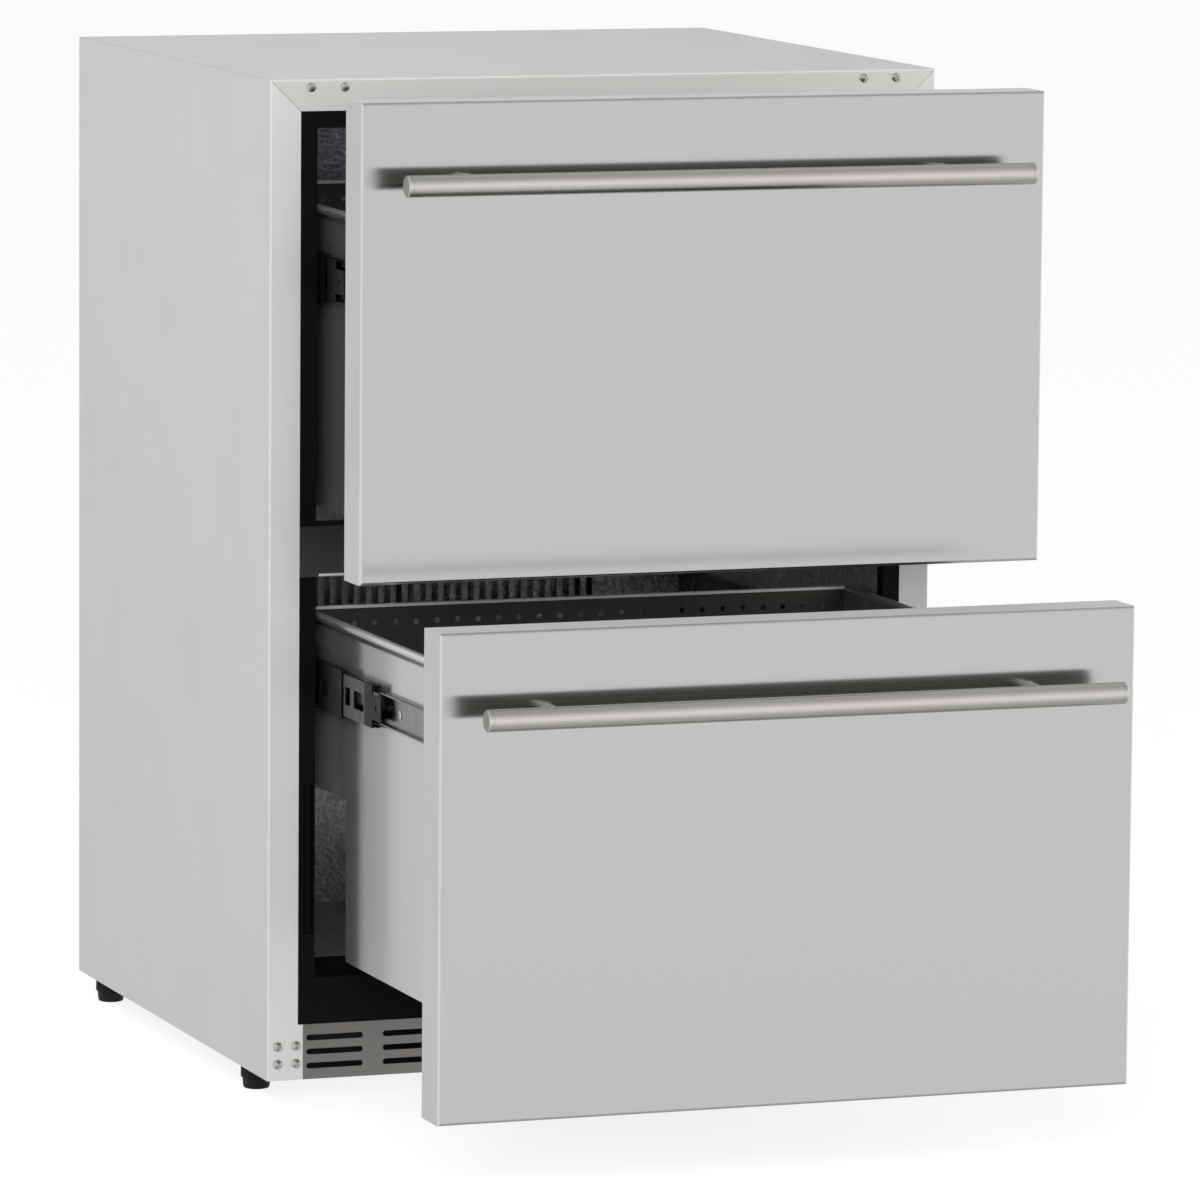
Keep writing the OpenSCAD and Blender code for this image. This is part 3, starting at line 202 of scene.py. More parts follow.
def bumped(tree, height, distance, strength=0.5):
    """The normal of a surface with fine relief."""
    return add(
        tree, "ShaderNodeBump", {"Height": height, "Distance": distance, "Strength": strength}
    ).outputs["Normal"]


# ---- shared effects ----

VECTOR, FLOAT = "NodeSocketVector", "NodeSocketFloat"


def brushing_group():
    """Fine and broad streaks of a brushed sheet, along the axis that the mapping draws out."""
    tree, given, result = new_group(
        "brushed streaks", [("Vector", VECTOR, None), ("Broad", FLOAT, 0.35)],
        [("Streaks", FLOAT)],
    )
    fine = noise(tree, given["Vector"], 1.0, 4.0, 0.65)
    broad = noise(tree, given["Vector"], 0.12, 2.0)
    feed(tree, result, {"Streaks": value_between(tree, given["Broad"], fine, broad)})
    return tree


def marks_group():
    """Soft cloudy marks of handling, cleaning and settled dust."""
    tree, given, result = new_group(
        "handling marks",
        [("Vector", VECTOR, None), ("Scale", FLOAT, 9.0), ("From", FLOAT, 0.42),
         ("To", FLOAT, 0.72)],
        [("Mask", FLOAT)],
    )
    clouds = noise(tree, given["Vector"], given["Scale"], 5.0, 0.55, 0.3)
    feed(tree, result, {"Mask": ranged(tree, clouds, given["From"], given["To"], soft=True)})
    return tree


def moulded_group():
    """Fine pebbled skin of moulded plastic and rubber."""
    tree, given, result = new_group(
        "moulded skin", [("Vector", VECTOR, None), ("Scale", FLOAT, 900.0)],
        [("Height", FLOAT), ("Shade", FLOAT)],
    )
    feed(tree, result, {
        "Height": cells(tree, given["Vector"], given["Scale"], 0.6),
        "Shade": noise(tree, given["Vector"], 14.0, 3.0),
    })
    return tree


def embossing_group():
    """Small irregular bumps of stucco-embossed sheet, and of the skin of cast foam."""
    tree, given, result = new_group(
        "stucco embossing", [("Vector", VECTOR, None), ("Scale", FLOAT, 220.0)],
        [("Height", FLOAT), ("Crests", FLOAT)],
    )
    knobs = cells(tree, given["Vector"], given["Scale"], 0.35)
    worms = noise(tree, given["Vector"], given["Scale"], 1.0, distortion=1.2)
    height = combined(tree, "MULTIPLY", knobs, worms)
    feed(tree, result, {"Height": height, "Crests": ranged(tree, height, 0.1, 0.4, soft=True)})
    return tree


STREAKS = brushing_group()
MARKS = marks_group()
MOULDED = moulded_group()
EMBOSSING = embossing_group()


# ---- finishes ----

GRAIN_DEPTH = 0.000015
SKIN_DEPTH = 0.00005


def shade_of(colour, factor):
    return (colour[0] * factor, colour[1] * factor, colour[2] * factor, 1.0)


def marks(tree, **inputs):
    """The mask of handling marks on a surface."""
    return use(tree, MARKS, Vector=object_place(tree), **inputs)["Mask"]


def brushed_metal(
    name, colour, grain, spread, roughness=0.3, contrast=0.04, anisotropy=0.8, metallic=1.0,
    rim=1.0, painted_light_by_facing=(),
):
    """Brushed sheet metal.

    grain is how closely the streaks follow each other along x, y and z, and spread is the
    direction across them, in which they draw out a reflection. rim is how bright the metal gets
    at a grazing look. The last argument lists painted light and shade, other tones of the sheet set
    by which way it faces, each as (axis, from, to, colour, roughness): it sets in as the surface
    turns along that axis.
    """
    material, tree, surface = new_material(name)
    streaks = use(tree, STREAKS, Vector=object_place(tree, grain))["Streaks"]
    marked = marks(tree)
    tone = colour_between(
        tree, streaks, shade_of(colour, 1 - contrast), shade_of(colour, 1 + contrast)
    )
    tone = colour_between(tree, marked, tone, shade_of(colour, 0.98))
    gloss = ranged(tree, streaks, 0.25, 0.75, roughness - 0.012, roughness + 0.012)
    dull = combined(tree, "MULTIPLY_ADD", marked, 0.02, gloss)
    if painted_light_by_facing:
        normal = add(tree, "ShaderNodeNewGeometry").outputs["Normal"]
        looks = add(tree, "ShaderNodeSeparateXYZ", {"Vector": normal}).outputs
    # painted light and shade: each entry sets a tone and roughness by which way the surface faces
    for axis, start, full, tint, rough in painted_light_by_facing:
        share = ranged(tree, looks[axis], start, full, soft=True)
        tone = colour_between(tree, share, tone, shade_of(tint, 1))
        dull = value_between(tree, share, dull, rough)
    across = add(tree, "ShaderNodeCombineXYZ", dict(zip("XYZ", spread))).outputs["Vector"]
    feed(tree, surface, {
        "Base Color": tone, "Roughness": dull, "Normal": bumped(tree, streaks, GRAIN_DEPTH),
        "Tangent": across, "Anisotropic": anisotropy, "Metallic": metallic,
        "Specular Tint": (rim, rim, rim, 1),
    })
    return material


def zinc(name, colour, roughness, spangle=55.0):
    """Zinc-plated or galvanised steel with its faint crystal pattern."""
    material, tree, surface = new_material(name)
    flowers = add(
        tree, "ShaderNodeTexVoronoi", {"Vector": object_place(tree), "Scale": spangle}
    ).outputs["Color"]
    grey = add(tree, "ShaderNodeSeparateColor", {"Color": flowers}).outputs[0]
    tone = colour_between(tree, grey, shade_of(colour, 0.92), shade_of(colour, 1.08))
    tone = colour_between(tree, marks(tree, Scale=14.0), tone, shade_of(colour, 0.86))
    gloss = ranged(tree, grey, low=roughness - 0.06, high=roughness + 0.08)
    feed(tree, surface, {"Base Color": tone, "Roughness": gloss, "Metallic": 1.0})
    return material


def moulded(name, colour, roughness=0.45, skin=900.0, specular=0.5):
    """Moulded plastic or rubber; skin is how fine its pebbles are."""
    material, tree, surface = new_material(name)
    pebbled = use(tree, MOULDED, Vector=object_place(tree), Scale=skin)
    tone = colour_between(
        tree, pebbled["Shade"], shade_of(colour, 0.86), shade_of(colour, 1.16)
    )
    gloss = ranged(tree, marks(tree, Scale=18.0), low=roughness - 0.05, high=roughness + 0.1)
    feed(tree, surface, {
        "Base Color": tone, "Roughness": gloss, "Specular IOR Level": specular,
        "Normal": bumped(tree, pebbled["Height"], SKIN_DEPTH),
    })
    return material


def embossed(name, colour, metallic, roughness, scale, depth, crest=1.35):
    """A skin covered with small bumps: the liner's stucco sheet, or cast foam."""
    material, tree, surface = new_material(name)
    bumps = use(tree, EMBOSSING, Vector=object_place(tree), Scale=scale)
    # painted highlight and shade: the crests of the bumps are made paler and the hollows darker
    tone = colour_between(
        tree, bumps["Crests"], shade_of(colour, 0.85), shade_of(colour, crest)
    )
    tone = colour_between(tree, marks(tree, Scale=7.0), tone, shade_of(colour, 0.8))
    feed(tree, surface, {
        "Base Color": tone, "Roughness": roughness, "Metallic": metallic,
        "Normal": bumped(tree, bumps["Height"], depth, 0.8),
    })
    return material


def painted(name, colour, roughness=0.3):
    """Baked enamel with a slight orange peel, duller and paler where dust lies."""
    material, tree, surface = new_material(name)
    peel = noise(tree, object_place(tree), 260.0, 1.0)
    dust = marks(tree, Scale=11.0, From=0.4, To=0.8)
    feed(tree, surface, {
        "Base Color": colour_between(tree, dust, shade_of(colour, 1), shade_of(colour, 1.9)),
        "Roughness": ranged(tree, dust, low=roughness, high=roughness + 0.25),
        "Normal": bumped(tree, peel, 0.0002, 0.25),
    })
    return material


def drawn_copper(name):
    """Bare copper tube, darker where it has tarnished."""
    material, tree, surface = new_material(name)
    tarnish = marks(tree, Scale=30.0, From=0.35, To=0.75)
    streaks = use(tree, STREAKS, Vector=object_place(tree, (220, 220, 220)))["Streaks"]
    feed(tree, surface, {
        "Base Color": colour_between(tree, tarnish, (0.78, 0.36, 0.19, 1), (0.36, 0.15, 0.08, 1)),
        "Roughness": ranged(tree, streaks, low=0.22, high=0.45),
        "Metallic": 1.0,
    })
    return material


def lamp_cover(name):
    """Milky cover of the interior light, lit from inside with a cool white."""
    material, tree, surface = new_material(name)
    patches = noise(tree, object_place(tree), 40.0, 1.0)
    feed(tree, surface, {
        "Base Color": (0.8, 0.84, 0.88, 1), "Roughness": 0.35, "Emission Strength": 1.4,
        "Emission Color": colour_between(tree, patches, (0.26, 0.42, 1.0, 1), (0.42, 0.6, 1.0, 1)),
    })
    return material


# how closely streaks follow each other along x, y and z, and the direction across them
UPRIGHT = ((900, 900, 5), (1, 1, 0.03))
LEVEL = ((5, 5, 900), (0.03, 0.03, 1))
BACKWARDS = ((900, 5, 900), (1, 0.03, 0))
LENGTHWISE = ((5, 900, 900), (0.03, 1, 1))
EVERY_WAY = ((300, 300, 300), (1, 1, 0.5))


def lit_fold_tones(light, sheet, roughness):
    """Tones of a fold between a sheet that looks forward and its neighbour: a painted highlight
    along the fold, and the forward sheet's own tone.
    """
    return [("Y", -0.08, -0.4, light, roughness), ("Y", -0.85, -0.99, sheet, roughness)]


SHELL_TONE = (0.618, 0.611, 0.6)
# painted shade: the top and its front flange get darker tones than the sides' steel, against the
# lamps' light on them
TOP_TONE = (0.555, 0.549, 0.535)
FLANGE_TONE = (0.545, 0.539, 0.526)
FRONT_TONE = (0.545, 0.544, 0.538)
# painted light: faces of the fronts that look up are made paler and rougher
FRONT_TOP_PAINTED_LIGHT = ("Z", 0.3, 0.9, (0.92, 0.92, 0.91), 0.6)
# painted shade: faces of a drawer box that look forward, chiefly the inside of its back wall, are
# made dark
BOX_FORWARD_PAINTED_SHADE = ("Y", -0.3, -0.7, (0.095, 0.087, 0.078), 0.3)
# painted light: faces of a drawer box that look up, its rolled rim and its floor, are made paler
BOX_UPWARD_PAINTED_LIGHT = ("Z", 0.2, 0.6, (0.74, 0.73, 0.72), 0.34)
BAR_BACK_PAINTED_SHADE = ("Y", -0.35, 0.25, (0.23, 0.22, 0.205), 0.22)  # painted shade: the bar is darker on its top, underside and back, the side that the front mirrors
PITCH_BLACK = (0.003, 0.003, 0.003)
FINISH = {
    "shell_side": brushed_metal(
        "shell sides, upright grain", SHELL_TONE, *UPRIGHT, 0.55, 0.03, metallic=0.5,
        painted_light_by_facing=lit_fold_tones((0.65, 0.64, 0.63), SHELL_TONE, 0.55),
    ),
    "shell_top": brushed_metal(
        "shell top, grain to the back", TOP_TONE, *BACKWARDS, 0.5, 0.03, anisotropy=0.7,
        metallic=0.5, painted_light_by_facing=lit_fold_tones((0.69, 0.68, 0.67), FLANGE_TONE, 0.5),
    ),
    "front": brushed_metal(
        "drawer fronts, upright grain", FRONT_TONE, *UPRIGHT, 0.17, 0.02, anisotropy=0.85,
        rim=0.82,
        painted_light_by_facing=[FRONT_TOP_PAINTED_LIGHT] + lit_fold_tones((0.66, 0.66, 0.655), FRONT_TONE, 0.17),
    ),
    "drawer_box": brushed_metal(
        "drawer box sheet, level grain", (0.44, 0.435, 0.426), *LEVEL, 0.2, 0.02,
        anisotropy=0.9, metallic=0.84, painted_light_by_facing=[BOX_FORWARD_PAINTED_SHADE, BOX_UPWARD_PAINTED_LIGHT],
    ),
    "handle": brushed_metal(
        "handle bars, grain along the bar", (0.66, 0.64, 0.605), *LENGTHWISE, 0.22, 0.08,
        anisotropy=0.3, painted_light_by_facing=[BAR_BACK_PAINTED_SHADE],
    ),
    # painted highlight: the hems get a paler, partly diffuse steel so they read as bright lines
    "bright_edge": brushed_metal(
        "hems painted bright as a highlight", (0.85, 0.84, 0.82), *LEVEL, 0.4, metallic=0.6
    ),
    # painted shade: the middle rail's stainless is made dark for the shade between the drawers
    "rail": brushed_metal("middle rail", (0.175, 0.165, 0.16), *LEVEL, 0.3),
    # painted shade: the kick grille's stainless is made dark for the shade under the cabinet
    "grille": brushed_metal("kick grille", (0.25, 0.24, 0.23), *LEVEL, 0.34),
    "screw": brushed_metal("screw heads", (0.56, 0.55, 0.53), *EVERY_WAY, 0.22, anisotropy=0.0),
    "fins": brushed_metal("fin aluminium", (0.62, 0.63, 0.65), *EVERY_WAY, 0.35),
    # painted shade: the slides' zinc is made dark for the shade inside the compartment, the middle
    # and outer members darker still
    "slide": zinc("zinc slides in painted shade", (0.18, 0.18, 0.185), 0.26),
    "dark_slide": zinc("zinc slides in deeper painted shade", (0.08, 0.08, 0.082), 0.3),
    "sheet": zinc("galvanised sheet", (0.42, 0.43, 0.44), 0.42, 38.0),
    "liner": embossed(
        "stucco embossed liner", (0.61, 0.605, 0.615), 0.8, 0.34, 230.0, 0.0009
    ),
    "foam": embossed("cast insulating foam", (0.72, 0.62, 0.40), 0.0, 0.9, 120.0, 0.0006, 1.1),
    "frame_plastic": moulded("black frame plastic", PITCH_BLACK, 0.45, specular=0.06),
    "slide_plastic": moulded("slide cage plastic", PITCH_BLACK, 0.5, specular=0.2),
    "foot_rubber": moulded("foot rubber", (0.005, 0.005, 0.005), 0.6, 600.0, 0.25),
    "tray_plastic": moulded("tray plastic", (0.02, 0.02, 0.021)),
    "panel_plastic": moulded("inner panel plastic", (0.62, 0.63, 0.64), 0.42),
    "fan_plastic": moulded("fan plastic", (0.06, 0.06, 0.062), 0.4),
    "white_plastic": moulded("white plastic", (0.72, 0.74, 0.76), 0.38),
    "gasket": moulded("gasket rubber", (0.008, 0.008, 0.009), 0.55, 500.0, 0.25),
    "enamel": painted("black enamel", (0.012, 0.012, 0.013)),
    "copper": drawn_copper("drawn copper"),
    "lamp": lamp_cover("lamp cover"),
}

FINISH_OF = {
    "shell_side": ["cabinet_side_left", "cabinet_side_right"],
    "shell_top": ["cabinet_top"],
    "front": ["upper_front_skin", "lower_front_skin"],
    "drawer_box": ["upper_drawer_box", "lower_drawer_box"],
    "handle": [
        "upper_handle_bar", "lower_handle_bar", "upper_handle_posts", "lower_handle_posts",
    ],
    "rail": ["middle_rail"],
    "grille": ["kick_grille"],
    "screw": [
        "frame_screws", "slide_wall_screws", "upper_drawer_screws", "lower_drawer_screws",
    ],
    "slide": ["upper_slide_inner", "lower_slide_inner"],
    "dark_slide": ["slide_outer_members", "upper_slide_middle", "lower_slide_middle"],
    "sheet": ["cabinet_back", "base_pan", "compartment_plate", "rear_cover"],
    "liner": ["liner", "air_duct_cover"],
    "foam": ["cabinet_foam", "upper_front_foam", "lower_front_foam"],
    "frame_plastic": ["breaker_frame", "power_inlet"],
    "slide_plastic": [
        "upper_slide_stops", "lower_slide_stops", "upper_outer_cages", "upper_inner_cages",
        "lower_outer_cages", "lower_inner_cages",
    ],
    "foot_rubber": [
        "foot_front_left", "foot_front_right", "foot_back_left", "foot_back_right",
        "compressor_grommets",
    ],
    "tray_plastic": ["drip_tray", "evaporator_fan_blade"],
    "panel_plastic": ["upper_front_inner", "lower_front_inner"],
    "fan_plastic": ["evaporator_fan_motor", "control_box", "condenser_fan_blade"],
    "white_plastic": ["drain_tube"],
    "gasket": ["upper_gasket", "lower_gasket"],
    "fins": ["evaporator"],
    "enamel": ["compressor", "condenser", "condenser_fan_shroud"],
    "copper": ["refrigerant_lines"],
    "lamp": ["interior_light"],
}


def dress_solids():
    """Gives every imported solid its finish."""
    for finish, names in FINISH_OF.items():
        for name in names:
            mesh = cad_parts[name].data
            mesh.materials.clear()
            mesh.materials.append(FINISH[finish])


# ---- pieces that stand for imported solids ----

SHARP_ANGLE = math.radians(32)


def finish_piece(name, bm, body, slot, finish, *stands_for):
    """Makes a mesh from bm, rides it on its body, and hides the solids that it stands for."""
    bmesh.ops.recalc_face_normals(bm, faces=bm.faces)
    piece = new_object(name, bm)
    piece.data.shade_smooth()
    piece.data.set_sharp_from_angle(angle=SHARP_ANGLE)
    piece.data.materials.append(FINISH[finish])
    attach(piece, body)
    for node in stands_for:
        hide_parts(node)
    return piece


def ring_of(bm, points):
    """The edges of a closed outline through points."""
    return [bm.edges.new((a, b)) for a, b in zip(points, points[1:] + points[:1])]


def turned(profile, steps):
    """A solid turned about z from its outline, given as (radius, height) in millimetres."""
    bm = bmesh.new()
    points = [bm.verts.new((r * MM, 0, z * MM)) for r, z in profile]
    for a, b in zip(points, points[1:]):
        bm.edges.new((a, b))
    bmesh.ops.spin(
        bm, geom=bm.verts[:] + bm.edges[:], cent=(0, 0, 0), axis=UP, angle=math.tau,
        steps=steps, use_merge=True, use_duplicate=False,
    )
    bmesh.ops.remove_doubles(bm, verts=bm.verts, dist=1e-6)
    bmesh.ops.recalc_face_normals(bm, faces=bm.faces)
    return bm


def drawn(profile, start, end, across, up):
    """A closed profile, in millimetres across and up, drawn from start to end and capped."""
    bm = bmesh.new()
    rings = []
    for at in (start, end):
        points = [bm.verts.new(at + across * (u * MM) + up * (v * MM)) for u, v in profile]
        rings += ring_of(bm, points)
        bm.faces.new(points)
    bmesh.ops.bridge_loops(bm, edges=rings)
    return bm


def copies(*sets):
    """One mesh from sets of a stamp and its places, with a copy of the stamp at each place."""
    bm = bmesh.new()
    for stamp, places in sets:
        model = bpy.data.meshes.new("stamp")
        stamp.to_mesh(model)
        stamp.free()
        for where in places:
            old = len(bm.verts)
            bm.from_mesh(model)
            bm.verts.ensure_lookup_table()
            bmesh.ops.transform(bm, matrix=where, verts=bm.verts[old:])
        bpy.data.meshes.remove(model)
    return bm


# ---- screws ----

# head radius, head height, shank radius and length, in mm
FRAME_SCREW = (4.0, 2.2, 2.0, 8.0)
WALL_SCREW = (4.0, 1.2, 2.0, 8.0)
SLIDE_SCREW = (4.0, 1.2, 2.0, 2.4)
BOX_SCREW = (4.0, 1.2, 2.0, 10.0)
HANDLE_SCREW = (5.0, 3.0, 2.5, 10.0)
HEAD_STEPS = 24
HEAD_EDGE = 0.32  # share of a head's height that its upright edge takes
# half length and half width of a cross's arms as shares of the head's radius, its depth as a
# share of the head's height, and how much of its width is left at its floor
CROSS_ARM, CROSS_SLOT, CROSS_DEPTH, CROSS_FLOOR = 0.6, 0.13, 0.55, 0.72

# where the screws sit, in mm: (x, z) in one half of the top flange and in one lower corner of
# the steel front, and all of those in the back
TOP_SCREWS = [(234.5, 845.0), (264.0, 845.0)]
CORNER_SCREWS = [(x, z) for x in (290.9, 274.6) for z in (14.2, 29.5)]
BACK_SCREWS = [(x, z) for x in (-275.0, 0.0, 275.0) for z in (10.2, 197.8)]
CABINET_DEPTH = 566.0
# under the heads that hold the slides to the compartment's walls, and to the shut drawers
WALL_X, WALL_Y = 256.8, (70.0, 240.0, 430.0)
SLIDE_X, SLIDE_Y = 246.5, (75.0, 213.0, 400.0)
# under the heads in the shut drawer's box and behind its handle
BOX_X, BOX_Y = 200.0, -3.8
POST_X, POST_Y = 209.0, -44.0
# drawer, how far open, heights of its box screws, of its slides and of its handle, in mm
DRAWERS = (
    ("upper", 198.0, (527.0, 704.0), 685.0, 784.4),
    ("lower", 403.0, (148.0, 358.0), 339.0, 377.4),
)

TO_FRONT = Matrix.Rotation(math.radians(90), 4, "X")
TO_BACK = Matrix.Rotation(math.radians(-90), 4, "X")
TO_LEFT = Matrix.Rotation(math.radians(-90), 4, "Y")
TO_RIGHT = Matrix.Rotation(math.radians(90), 4, "Y")


def cut_cross(bm, half_arm, half_slot, above, depth):
    """Sinks a cross recess into the top of a screw head."""
    for axis, at in [(a, d) for a in (0, 1) for d in (-half_arm, -half_slot, half_slot, half_arm)]:
        top = [f for f in bm.faces if f.calc_center_median().z > above]
        around = {v for f in top for v in f.verts} | {e for f in top for e in f.edges}
        middle, facing = Vector(), Vector()
        middle[axis], facing[axis] = at, 1
        bmesh.ops.bisect_plane(
            bm, geom=list(around) + top, dist=1e-7, plane_co=middle, plane_no=facing
        )

    def in_cross(face):
        c = face.calc_center_median()
        near, far = sorted((abs(c.x), abs(c.y)))
        return c.z > above and face.normal.z > 0.3 and near < half_slot and far < half_arm

    cross = [f for f in bm.faces if in_cross(f)]
    sunk = bmesh.ops.extrude_face_region(bm, geom=cross)["geom"]
    bmesh.ops.delete(bm, geom=cross, context="FACES")
    floor_points = [g for g in sunk if isinstance(g, bmesh.types.BMVert)]
    bmesh.ops.scale(bm, vec=(CROSS_FLOOR, CROSS_FLOOR, 1), verts=floor_points)
    bmesh.ops.translate(bm, vec=(0, 0, -depth), verts=floor_points)


def pan_head_screw(head_r, head_h, shank_r, length):
    """A pan head screw with a cross recess; z = 0 is under its head."""
    edge_h = HEAD_EDGE * head_h
    outline = [(0, head_h)] + [
        (head_r * math.cos(a), edge_h + (head_h - edge_h) * math.sin(a))
        for a in [math.radians(d) for d in (72, 54, 37, 20, 6)]
    ]
    outline += [(head_r, edge_h * 0.5), (head_r - 0.12, 0)]
    outline += [(shank_r, 0), (shank_r, -length + 0.8), (shank_r * 0.55, -length), (0, -length)]
    bm = turned(outline, HEAD_STEPS)
    cut_cross(
        bm, CROSS_ARM * head_r * MM, CROSS_SLOT * head_r * MM, 1.15 * edge_h * MM,
        CROSS_DEPTH * head_h * MM,
    )
    return bm


def driven(x, y, z, facing, number):
    """Where one screw sits, its cross left at an angle of its own."""
    return (
        Matrix.Translation(place(x, y, z)) @ facing
        @ Matrix.Rotation(math.radians(37 * number % 90), 4, "Z")
    )


def make_screws():
    """Every screw of the cabinet, of the slides and of the two drawers."""
    front = [(s * x, z) for one in (TOP_SCREWS, CORNER_SCREWS) for s in SIDES for x, z in one]
    places = [driven(x, 0, z, TO_FRONT, n) for n, (x, z) in enumerate(front)]
    places += [
        driven(x, CABINET_DEPTH, z, TO_BACK, n) for n, (x, z) in enumerate(BACK_SCREWS, 5)
    ]
    finish_piece(
        "cross_head_frame_screws", copies((pan_head_screw(*FRAME_SCREW), places)),
        "cabinet", "zinc_plated", "screw", "frame_screws",
    )
    slide_heights = [row[3] for row in DRAWERS]
    walls = [(s, y, z) for s in SIDES for z in slide_heights for y in WALL_Y]
    places = [
        driven(s * WALL_X, y, z, TO_RIGHT if s < 0 else TO_LEFT, n)
        for n, (s, y, z) in enumerate(walls)
    ]
    finish_piece(
        "cross_head_wall_screws", copies((pan_head_screw(*WALL_SCREW), places)),
        "cabinet", "zinc_plated", "screw", "slide_wall_screws",
    )
    for drawer, out, box_z, slide_z, handle_z in DRAWERS:
        in_slides = [
            driven(s * SLIDE_X, y - out, slide_z, TO_LEFT if s < 0 else TO_RIGHT, n + i)
            for i, s in enumerate(SIDES) for n, y in enumerate(SLIDE_Y)
        ]
        in_box = [
            driven(s * BOX_X, BOX_Y - out, z, TO_BACK, n)
            for s in SIDES for n, z in enumerate(box_z)
        ]
        in_posts = [driven(s * POST_X, POST_Y - out, handle_z, TO_BACK, 1) for s in SIDES]
        bm = copies(
            (pan_head_screw(*SLIDE_SCREW), in_slides), (pan_head_screw(*BOX_SCREW), in_box),
            (pan_head_screw(*HANDLE_SCREW), in_posts),
        )
        finish_piece(
            drawer + "_cross_head_screws", bm, drawer + "_drawer", "zinc_plated", "screw",
            drawer + "_drawer_screws",
        )


# ---- folded edges ----

# section of a hem folded over the edge of a sheet, its round back up, in mm
HEM = [(-1.4, -2.6), (-1.4, -1.1), (-1.2, -0.4), (-0.7, 0.15), (0.0, 0.3)]
HEM += [(-u, v) for u, v in reversed(HEM[:-1])]
# section of the return flange that closes the rolled edge of a drawer's side
RETURN = [(0.0, -7.4), (3.4, -7.4), (2.6, -8.6), (1.1, -9.9), (0.3, -11.4), (0.0, -12.5)]
RIM_WIDTH = 7.1 * MM  # how far a drawer's rolled rim stands out from its side
HALF_SHEET = 0.6 * MM


def make_edges():
    """Hems and return flanges of the drawer boxes, and the hem along the middle rail."""
    for drawer in ("upper", "lower"):
        low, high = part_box(drawer + "_drawer_box")
        half, wall = high.x - RIM_WIDTH, high.y - HALF_SHEET
        ends = [Vector((s * (half - 1.3 * MM), wall, high.z)) for s in SIDES]
        finish_piece(
            drawer + "_box_back_hem", drawn(HEM, *ends, BACK, UP), drawer + "_drawer",
            "shaded_stainless", "bright_edge",
        )
        for side, s in zip(("left", "right"), SIDES):
            ends = [Vector((s * half, y, high.z)) for y in (low.y, high.y)]
            finish_piece(
                drawer + "_box_return_" + side, drawn(RETURN, *ends, RIGHT * s, UP),
                drawer + "_drawer", "shaded_stainless", "drawer_box",
            )
    low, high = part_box("middle_rail")
    clear = 17 * MM  # room at each end for the plastic frame
    ends = [Vector((x, low.y + 2 * HALF_SHEET, low.z)) for x in (low.x + clear, high.x - clear)]
    finish_piece(
        "middle_rail_hem", drawn(HEM, *ends, BACK, -UP), "cabinet", "shaded_stainless",
        "bright_edge",
    )


# ---- gaskets, feet and grille ----

GASKET_WIDTH = 9.0
# half section of a door gasket: (distance inwards from its outer edge, height above its foot)
GASKET_HALF = [
    (0.0, 0.0), (0.0, 0.6), (0.6, 1.0), (2.7, 1.15), (1.5, 1.7), (1.4, 2.0), (2.3, 2.4),
    (1.1, 2.8), (0.95, 3.7), (1.25, 4.3), (1.9, 4.62),
]


def make_gasket(drawer):
    """The bellows gasket around the back of one drawer front, mitred and welded at its corners."""
    low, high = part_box(drawer + "_gasket")
    section = GASKET_HALF + [(GASKET_WIDTH - d, h) for d, h in reversed(GASKET_HALF)]
    bm = bmesh.new()
    rings = []
    for sx, sz in ((-1, -1), (1, -1), (1, 1), (-1, 1)):
        x, z = (high.x if sx > 0 else low.x), (high.z if sz > 0 else low.z)
        rings.append(ring_of(bm, [
            bm.verts.new((x - sx * d * MM, low.y + h * MM, z - sz * d * MM)) for d, h in section
        ]))
    for one, other in zip(rings, rings[1:] + rings[:1]):
        bmesh.ops.bridge_loops(bm, edges=one + other)
    finish_piece(
        drawer + "_bellows_gasket", bm, drawer + "_drawer", "seal_rubber", "gasket",
        drawer + "_gasket",
    )


# outline of a foot's pad and collar, (radius, height) in mm
FOOT_OUTLINE = [
    (0, 0), (9.6, 0), (10.6, 0.3), (11.2, 1.0), (11.5, 2.2), (12.1, 8.5), (12.2, 9.2),
    (13.3, 9.8), (13.5, 10.6), (13.5, 18.6), (13.2, 19.4), (12.4, 19.7), (4.6, 19.7), (4.0, 19.9),
]
FOOT_STEPS = 72
FLUTE_FROM, FLUTE_TO, FLUTED_R, FLUTE_R_SHARE = 10.0, 19.0, 12.3, 0.94  # heights, radius, depth
THREAD_START, THREAD_PITCH, THREAD_FLANK = 20.4, 1.25, 0.62  # height of its foot, and rises
THREAD_ROOT_R, THREAD_R = 3.5, 4.0


def make_foot(corner):
    """A moulded levelling foot with gripping flutes, on its threaded stud."""
    low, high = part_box("foot_" + corner)
    top = (high.z - low.z) / MM
    outline = list(FOOT_OUTLINE)
    thread_z = THREAD_START
    while thread_z < top - 1.6:
        outline += [(THREAD_ROOT_R, thread_z), (THREAD_R, thread_z + THREAD_FLANK)]
        thread_z += THREAD_PITCH
    outline += [(THREAD_ROOT_R, top - 0.9), (2.6, top), (0, top)]
    bm = turned(outline, FOOT_STEPS)
    for v in bm.verts:  # every third step of the collar is a flute
        outer = math.hypot(v.co.x, v.co.y) > FLUTED_R * MM
        step = round(math.atan2(v.co.y, v.co.x) * FOOT_STEPS / math.tau)
        if outer and FLUTE_FROM < v.co.z / MM < FLUTE_TO and step % 3 == 0:
            v.co.x, v.co.y = v.co.x * FLUTE_R_SHARE, v.co.y * FLUTE_R_SHARE
    middle = (low + high) / 2
    bmesh.ops.translate(bm, vec=(middle.x, middle.y, low.z), verts=bm.verts)
    finish_piece(
        "levelling_foot_" + corner, bm, corner + "_foot", "black_plastic", "foot_rubber",
        "foot_" + corner,
    )


# the outermost slots of the kick grille, in mm
SLOT_MIDDLE_X, SLOT_HEIGHTS = 240.1, (11.6, 23.7, 35.8)
SLOT_BEND_X = 22.8  # from a slot's middle to the middle of its round end
SLOT_END_R = 2.42  # a little inside the slot, so that no two faces fall together


